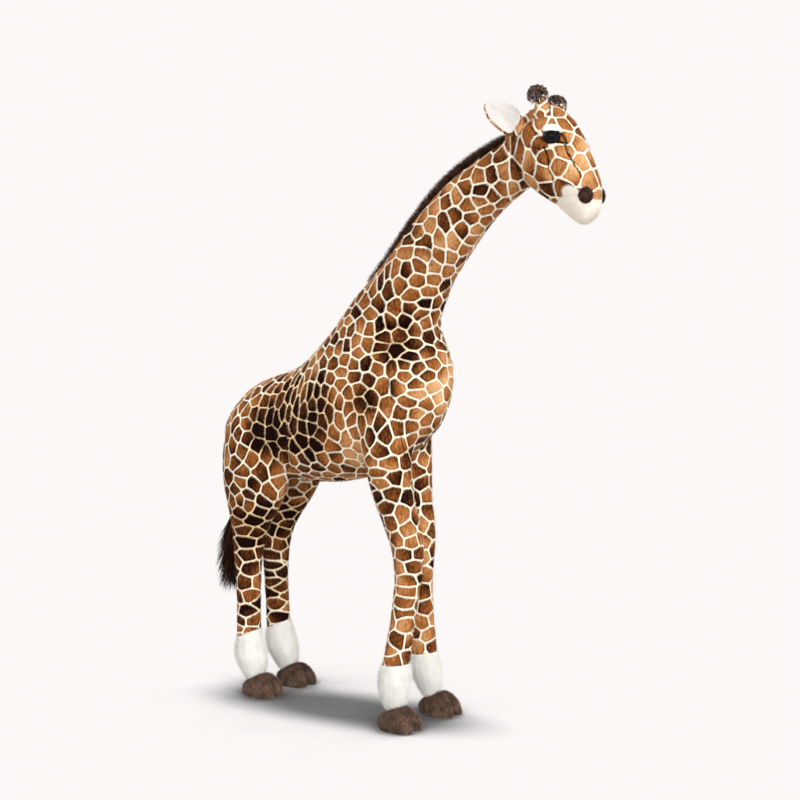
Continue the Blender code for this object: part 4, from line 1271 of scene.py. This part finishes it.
def stage_floor(colour):
    """A pale floor that camera rays see glowing in the backdrop's colour, with a painted soft shadow
    under the animal, from occlusion and an oval pool, which runs into the backdrop far off.
    """
    shader = Shader("stage_floor")
    shader.surface.inputs["Base Color"].default_value = (0.60, 0.585, 0.58, 1.0)
    shader.surface.inputs["Specular IOR Level"].default_value = 0.0
    # Painted shadow: the occlusion round each point, its hemisphere leaned to one side to move the
    # shadow
    closed = shader.node("ShaderNodeAmbientOcclusion")
    closed.samples = 16
    closed.inputs["Distance"].default_value = 1.0
    closed.inputs["Normal"].default_value = Vector((-0.42, 0.54, 1.0)).normalized()
    shade = shader.ramp(closed.outputs["AO"], 0.55, 0.82, 0.30, 1.0)
    # Painted shadow: a soft oval pool of shade under the body
    around = shader.node("ShaderNodeMapping")
    around.vector_type = "TEXTURE"
    around.inputs["Location"].default_value = (-0.03, 0.12, 0.0)
    around.inputs["Rotation"].default_value = (0.0, 0.0, 0.2)
    around.inputs["Scale"].default_value = (0.155, 0.42, 1.0)
    shader.link(shader.place(), around.inputs["Vector"])
    length = shader.node("ShaderNodeVectorMath", operation="LENGTH")
    shader.link(around.outputs[0], length.inputs[0])
    painted_shadow_pool = shader.ramp(length.outputs["Value"], 0.35, 1.12, 0.24, 1.0)
    shade = shader.math("MULTIPLY", shade, painted_shadow_pool)
    # Camera rays see the floor glowing in the backdrop's colour with the painted shadow; other rays
    # see a plain diffuse floor
    path = shader.node("ShaderNodeLightPath")
    choose = shader.node("ShaderNodeMixShader")
    plain = shader.node("ShaderNodeEmission")
    shader.link(shader.shaded(colour, shade), plain.inputs["Color"])
    shader.link(path.outputs["Is Camera Ray"], choose.inputs[0])
    shader.link(shader.surface.outputs[0], choose.inputs[1])
    shader.link(plain.outputs[0], choose.inputs[2])
    shader.link(choose.outputs[0], shader.tree.nodes["Material Output"].inputs["Surface"])
    return shader.material


def lamp(name, way, strength, spread):
    """Even light from one way, spread over an angle in degrees."""
    data = bpy.data.lights.new(name, "SUN")
    data.energy = strength
    data.angle = math.radians(spread)
    made = bpy.data.objects.new(name, data)
    made.location = Vector(way) * 3
    made.rotation_euler = Vector(way).to_track_quat("Z", "Y").to_euler()
    bpy.context.scene.collection.objects.link(made)


# The steps


class GIRAFFE_OT_sew_skin(bpy.types.Operator):
    """Sew the patterned skin of the torso, neck, head and legs, and the muzzle"""

    bl_idname = "giraffe.sew_skin"
    bl_label = "Sew the skin"

    def execute(self, context):
        skin, pile, _, _ = settings()
        mesh = rewoven(SKIN_NODES, skin.voxel, SKIN_SWELL)
        edges = edges_of(mesh)
        points = relaxed(points_of(mesh), edges, 6)
        gaps = node_gaps(points, SKIN_NODES)
        nearest, second = np.sort(gaps, axis=0)[:2]
        near_seam = bell(second - nearest, pair_values(gaps, SEAM_EASES, LEAST_EASE))
        points = eased(points, edges, near_seam, SKIN_EASE_ROUNDS)
        points = moulded(points, HEAD_MOVES)
        owner = np.argmin(gaps, axis=0)
        points = settled_on_seams(points, edges, gaps, owner)
        set_points(mesh, points)
        lumps = sum(field(points, size, offset) * share for size, offset, share in LUMPS)
        points = points + normals_of(mesh) * (lumps * skin.lump_height)[:, None]
        set_points(mesh, points)
        faces = quads_of(mesh)
        tree = BVHTree.FromPolygons(points.tolist(), faces.tolist())
        points, dark, seam_gap = crease_skin(points, normals_of(mesh), gaps, tree)
        set_points(mesh, points)
        normals = normals_of(mesh)
        cream = seen_shares(points, tree, CREAM_PLACES)
        cream += 1.3 * (owner == SKIN_NODES.index("muzzle"))
        edge_gap, tone = printed_patches(points, patch_scales(points), skin.seed)
        stored = {
            "shade": spread_values(1 - dark, edges, 1),
            # Painted shade, or below zero painted light, from the places listed above
            "depth": 0.05 + seen_shares(points, tree, PAINTED_SHADE_AND_LIGHT),
            "cream": np.clip((spread_values(cream, edges, 1) - 0.5) * 8 + 0.5, 0, 1),
            "edge_gap": edge_gap,
            "tone": tone,
            "seam_gap": seam_gap,
            "lay": comb(points, normals, owner) * (1 - pile.lean) + normals * pile.lean,
            "cover": 1 - 0.8 * np.clip(dark * 2 - 0.6, 0, 1),
            "reach": (1 - 0.5 * spread_values(dark, edges, 3)) * np.clip(seam_gap / 0.008, 0.3, 1),
        }
        face_owner = owners_of_faces(faces, owner)
        printed = printed_plush("patterned_plush_skin", False)
        printed_hair = printed_plush("patterned_plush_pile", True)
        strand = strand_object("pile_strand", SKIN_STRAND)
        for index, node in enumerate(SKIN_NODES):
            panel, sources = panel_of(points, faces, face_owner, index)
            for name, values in stored.items():
                put(panel, name, values[sources])
            hair = grow_pile(
                node + "_pile", panel.copy(), strand, printed_hair,
                pile.cover, pile.length, 0.25, pile.spread, 0.5, index + 3,
            )
            dress(hair)
            made = piece(node + "_plush", panel, printed)
            dress(made, replaces=(node,))
        bpy.data.objects.remove(strand, do_unlink=True)
        return {"FINISHED"}


class GIRAFFE_OT_sew_feet(bpy.types.Operator):
    """Sew the white cuffs and the brown hooves"""

    bl_idname = "giraffe.sew_feet"
    bl_label = "Sew the feet"

    def execute(self, context):
        _, _, colours, _ = settings()
        white = plain_plush("white_plush_skin", colours.white, mottle=0.06)
        white_hair = plain_plush("white_plush_pile", colours.white, True, mottle=0.06)
        hoof = plain_plush("hoof_plush_skin", colours.hoof, mottle=0.3)
        hoof_hair = plain_plush(
            "hoof_plush_pile", colours.hoof, True, mottle=0.6, tip=colours.hoof_tip
        )
        strand = strand_object("foot_strand", 0.13)
        for number, foot in enumerate(FEET):
            for part, finish, hair, slot, length in (
                ("cuff", white, white_hair, "white_plush", 0.0085),
                ("hoof", hoof, hoof_hair, "hoof_plush", 0.0050),
            ):
                mould, shaded = low_hoof, cleft_shade
                if part == "cuff":
                    mould, shaded = rear_cuff if "rear" in foot else front_cuff, None
                sew_small(
                    f"{foot}_{part}", finish, hair, slot, length, strand, (0, 0.1, -1), number,
                    mould=mould, shaded=shaded,
                )
        bpy.data.objects.remove(strand, do_unlink=True)
        return {"FINISHED"}


class GIRAFFE_OT_sew_ears(bpy.types.Operator):
    """Sew the ears: a printed shell and a cream lining"""

    bl_idname = "giraffe.sew_ears"
    bl_label = "Sew the ears"

    def execute(self, context):
        _, _, colours, _ = settings()
        printed, printed_hair = printed_finishes()
        cream = plain_plush("ear_cream_plush", colours.ear, mottle=0.07)
        cream_hair = plain_plush("ear_cream_pile", colours.ear, True, mottle=0.07)
        strand = strand_object("ear_strand", 0.15)
        for side in SIDES:
            body = side + "_ear"
            way = (-0.4 if side == "right" else 0.4, 0.3, 0.8)
            sew_small(
                body + "_shell", printed, printed_hair, "patterned_plush", 0.0035, strand, way, 1,
                body, 0.0014, large_ear, depth=-0.45,
            )
            sew_small(
                body + "_lining", cream, cream_hair, "cream_plush", 0.0035, strand, way, 2,
                body, 0.0014, wide_lining,
            )
        bpy.data.objects.remove(strand, do_unlink=True)
        return {"FINISHED"}


class GIRAFFE_OT_sew_face(bpy.types.Operator):
    """Sew the eyelids, the nostrils and the horn stalks, and polish the eyes"""

    bl_idname = "giraffe.sew_face"
    bl_label = "Sew the face"

    def execute(self, context):
        _, _, colours, _ = settings()
        white = plain_plush("eyelid_plush", colours.white, mottle=0.05)
        white_hair = plain_plush("eyelid_pile", colours.white, True, mottle=0.05)
        nostril = plain_plush("nostril_plush", (0.050, 0.022, 0.016), mottle=0.5)
        nostril_hair = plain_plush(
            "nostril_pile", (0.045, 0.020, 0.014), True, mottle=0.6, tip=(0.20, 0.12, 0.09)
        )
        printed, printed_hair = printed_finishes()
        gloss = eye_plastic()
        washer = board("washer_plastic_grain", (0.74, 0.74, 0.72), (0.84, 0.84, 0.82))
        strand = strand_object("face_strand", 0.15)
        for side in SIDES:
            sew_small(
                side + "_upper_eyelid", white, white_hair, "white_plush", 0.003, strand,
                (0, 0.3, 1), 1, voxel=0.0012,
            )
            sew_small(
                side + "_nostril", nostril, nostril_hair, "hoof_plush", 0.0035, strand,
                (0, 0.5, 1), 2, voxel=0.0012, mould=large_nostril,
            )
            sew_small(
                side + "_horn", printed, printed_hair, "patterned_plush", 0.004, strand,
                (0, 0.1, 1), 3, voxel=0.0014, mould=broad_horn, depth=-0.35, patch=0.62,
            )
            for node, finish in ((side + "_eye", gloss), (side + "_eye_washer", washer)):
                paint_node(node, finish)
        bpy.data.objects.remove(strand, do_unlink=True)
        return {"FINISHED"}


class GIRAFFE_OT_grow_hair(bpy.types.Operator):
    """Grow the mane, the horn tufts and the tail's tuft, and sew the tail's stalk"""

    bl_idname = "giraffe.grow_hair"
    bl_label = "Grow the hair"

    def execute(self, context):
        _, _, colours, _ = settings()
        dark = plain_plush("dark_pile_skin", colours.dark, mottle=0.3)
        dark_hair = plain_plush("dark_pile_hair", colours.dark, True, mottle=0.4, tip=colours.tip)
        curly = plain_plush(
            "dark_pile_curls", tint(colours.dark, 13.0), True, mottle=0.3, tip=colours.curl
        )
        curly_skin = plain_plush("dark_pile_curl_skin", tint(colours.dark, 10.0), mottle=0.4)
        lock = strand_object("mane_lock", 0.07, 2, 0.6)
        curl = strand_object("horn_curl", 0.13, 7, 4.6, 0.06)
        wisp = strand_object("tail_wisp", 0.020, 5, 0.35, 0.012)
        hair_on("mane", dark, dark_hair, lock, 0.0155, 520000.0, (0, 0.9, 0.35), 0.28, 31, "body")
        for side in SIDES:
            hair_on(
                side + "_horn_tuft", curly_skin, curly, curl, 0.019, 330000.0, (0, 0.3, 0.4),
                0.9, 32, "body", back_tuft,
            )
        hair_on(
            "tail_tuft", dark, dark_hair, wisp, 0.060, 150000.0, (0, 0.04, -1), 0.07, 33, "tail_tuft"
        )
        printed, printed_hair = printed_finishes()
        strand = strand_object("tail_strand", 0.15)
        sew_small(
            "tail_stalk", printed, printed_hair, "patterned_plush", 0.005, strand, (0, 0, -1), 4,
            "tail", 0.002, depth=0.2,
        )
        for helper in (lock, curl, wisp, strand):
            bpy.data.objects.remove(helper, do_unlink=True)
        return {"FINISHED"}


class GIRAFFE_OT_finish_frame(bpy.types.Operator):
    """Give the steel frame and the boards inside their finish"""

    bl_idname = "giraffe.finish_frame"
    bl_label = "Finish the frame"

    def execute(self, context):
        metal = steel()
        plate = board("plate_board_grain", (0.34, 0.23, 0.13), (0.48, 0.35, 0.22))
        for node in HIDDEN_FRAME:
            paint_node(node, metal)
        for foot in FEET:
            paint_node(foot + "_foot_plate", plate)
        return {"FINISHED"}


class GIRAFFE_OT_set_stage(bpy.types.Operator):
    """Set the floor, the backdrop, the lamps and the camera"""

    bl_idname = "giraffe.set_stage"
    bl_label = "Set the stage"

    def execute(self, context):
        _, _, _, stage = settings()
        floor_mesh = bpy.data.meshes.new("floor")
        half = 30.0
        corners = [(half * x, half * y, 0) for x, y in ((-1, -1), (1, -1), (1, 1), (-1, 1))]
        floor_mesh.from_pydata(corners, [], [(0, 1, 2, 3)])
        colour = tuple(stage.backdrop)
        floor = piece("floor", floor_mesh, stage_floor(colour))
        world = bpy.data.worlds.new("studio")
        context.scene.world = world
        world.use_nodes = True
        nodes, links = world.node_tree.nodes, world.node_tree.links
        light = nodes["Background"]
        light.inputs["Color"].default_value = (1.0, 1.0, 1.0, 1.0)
        light.inputs["Strength"].default_value = stage.sky
        shown = nodes.new("ShaderNodeBackground")
        shown.inputs["Color"].default_value = (*colour, 1.0)
        path = nodes.new("ShaderNodeLightPath")
        clear = nodes.new("ShaderNodeMath")
        clear.operation = "MAXIMUM"
        links.new(path.outputs["Is Camera Ray"], clear.inputs[0])
        links.new(path.outputs["Is Glossy Ray"], clear.inputs[1])
        choose = nodes.new("ShaderNodeMixShader")
        links.new(clear.outputs[0], choose.inputs[0])
        links.new(light.outputs[0], choose.inputs[1])
        links.new(shown.outputs[0], choose.inputs[2])
        links.new(choose.outputs[0], nodes["World Output"].inputs[0])
        lamp("key", (-0.38, -0.78, 0.52), stage.key_strength, 25.0)
        lamp("top", (-0.10, 0.05, 1.0), stage.top_strength, 16.0)
        lamp("rim", (-0.50, 0.75, 0.43), stage.rim_strength, 30.0)
        camera_data = bpy.data.cameras.new("camera")
        camera_data.sensor_width = SENSOR_WIDTH
        camera_data.lens = SENSOR_WIDTH * FOCAL_PIXELS / PHOTO_SIDE
        camera = bpy.data.objects.new("camera", camera_data)
        camera.location = VIEW_PLACE
        camera.rotation_mode = "QUATERNION"
        camera.rotation_quaternion = VIEW_SIGHT.to_track_quat("-Z", "Y")
        context.scene.collection.objects.link(camera)
        context.scene.camera = camera
        context.scene.view_settings.view_transform = "Standard"
        return {"FINISHED"}


STEPS = (
    GIRAFFE_OT_sew_skin,
    GIRAFFE_OT_sew_feet,
    GIRAFFE_OT_sew_ears,
    GIRAFFE_OT_sew_face,
    GIRAFFE_OT_grow_hair,
    GIRAFFE_OT_finish_frame,
    GIRAFFE_OT_set_stage,
)


class GIRAFFE_PT_panel(bpy.types.Panel):
    """Lists the steps and the settings."""

    bl_idname = "GIRAFFE_PT_panel"
    bl_label = "Plush Giraffe"
    bl_space_type = "VIEW_3D"
    bl_region_type = "UI"
    bl_category = "Giraffe"

    def draw(self, context):
        for step in STEPS:
            self.layout.operator(step.bl_idname)
        for group in settings():
            box = self.layout.box()
            for name in group.bl_rna.properties.keys():
                if name not in ("rna_type", "name"):
                    box.prop(group, name)


GROUPS = {
    "giraffe_skin": SkinSettings,
    "giraffe_pile": PileSettings,
    "giraffe_colours": ColourSettings,
    "giraffe_stage": StageSettings,
}


def register():
    """Makes the settings, steps and panel known."""
    for name, group in GROUPS.items():
        bpy.utils.register_class(group)
        setattr(bpy.types.Scene, name, PointerProperty(type=group))
    for step in (*STEPS, GIRAFFE_PT_panel):
        bpy.utils.register_class(step)


def unregister():
    """Takes them away again."""
    for step in reversed((*STEPS, GIRAFFE_PT_panel)):
        bpy.utils.unregister_class(step)
    for name, group in GROUPS.items():
        delattr(bpy.types.Scene, name)
        bpy.utils.unregister_class(group)


def main():
    """Runs every step in order."""
    register()
    for step in STEPS:
        group, name = step.bl_idname.split(".")
        getattr(getattr(bpy.ops, group), name)()


if __name__ == "__main__":
    main()
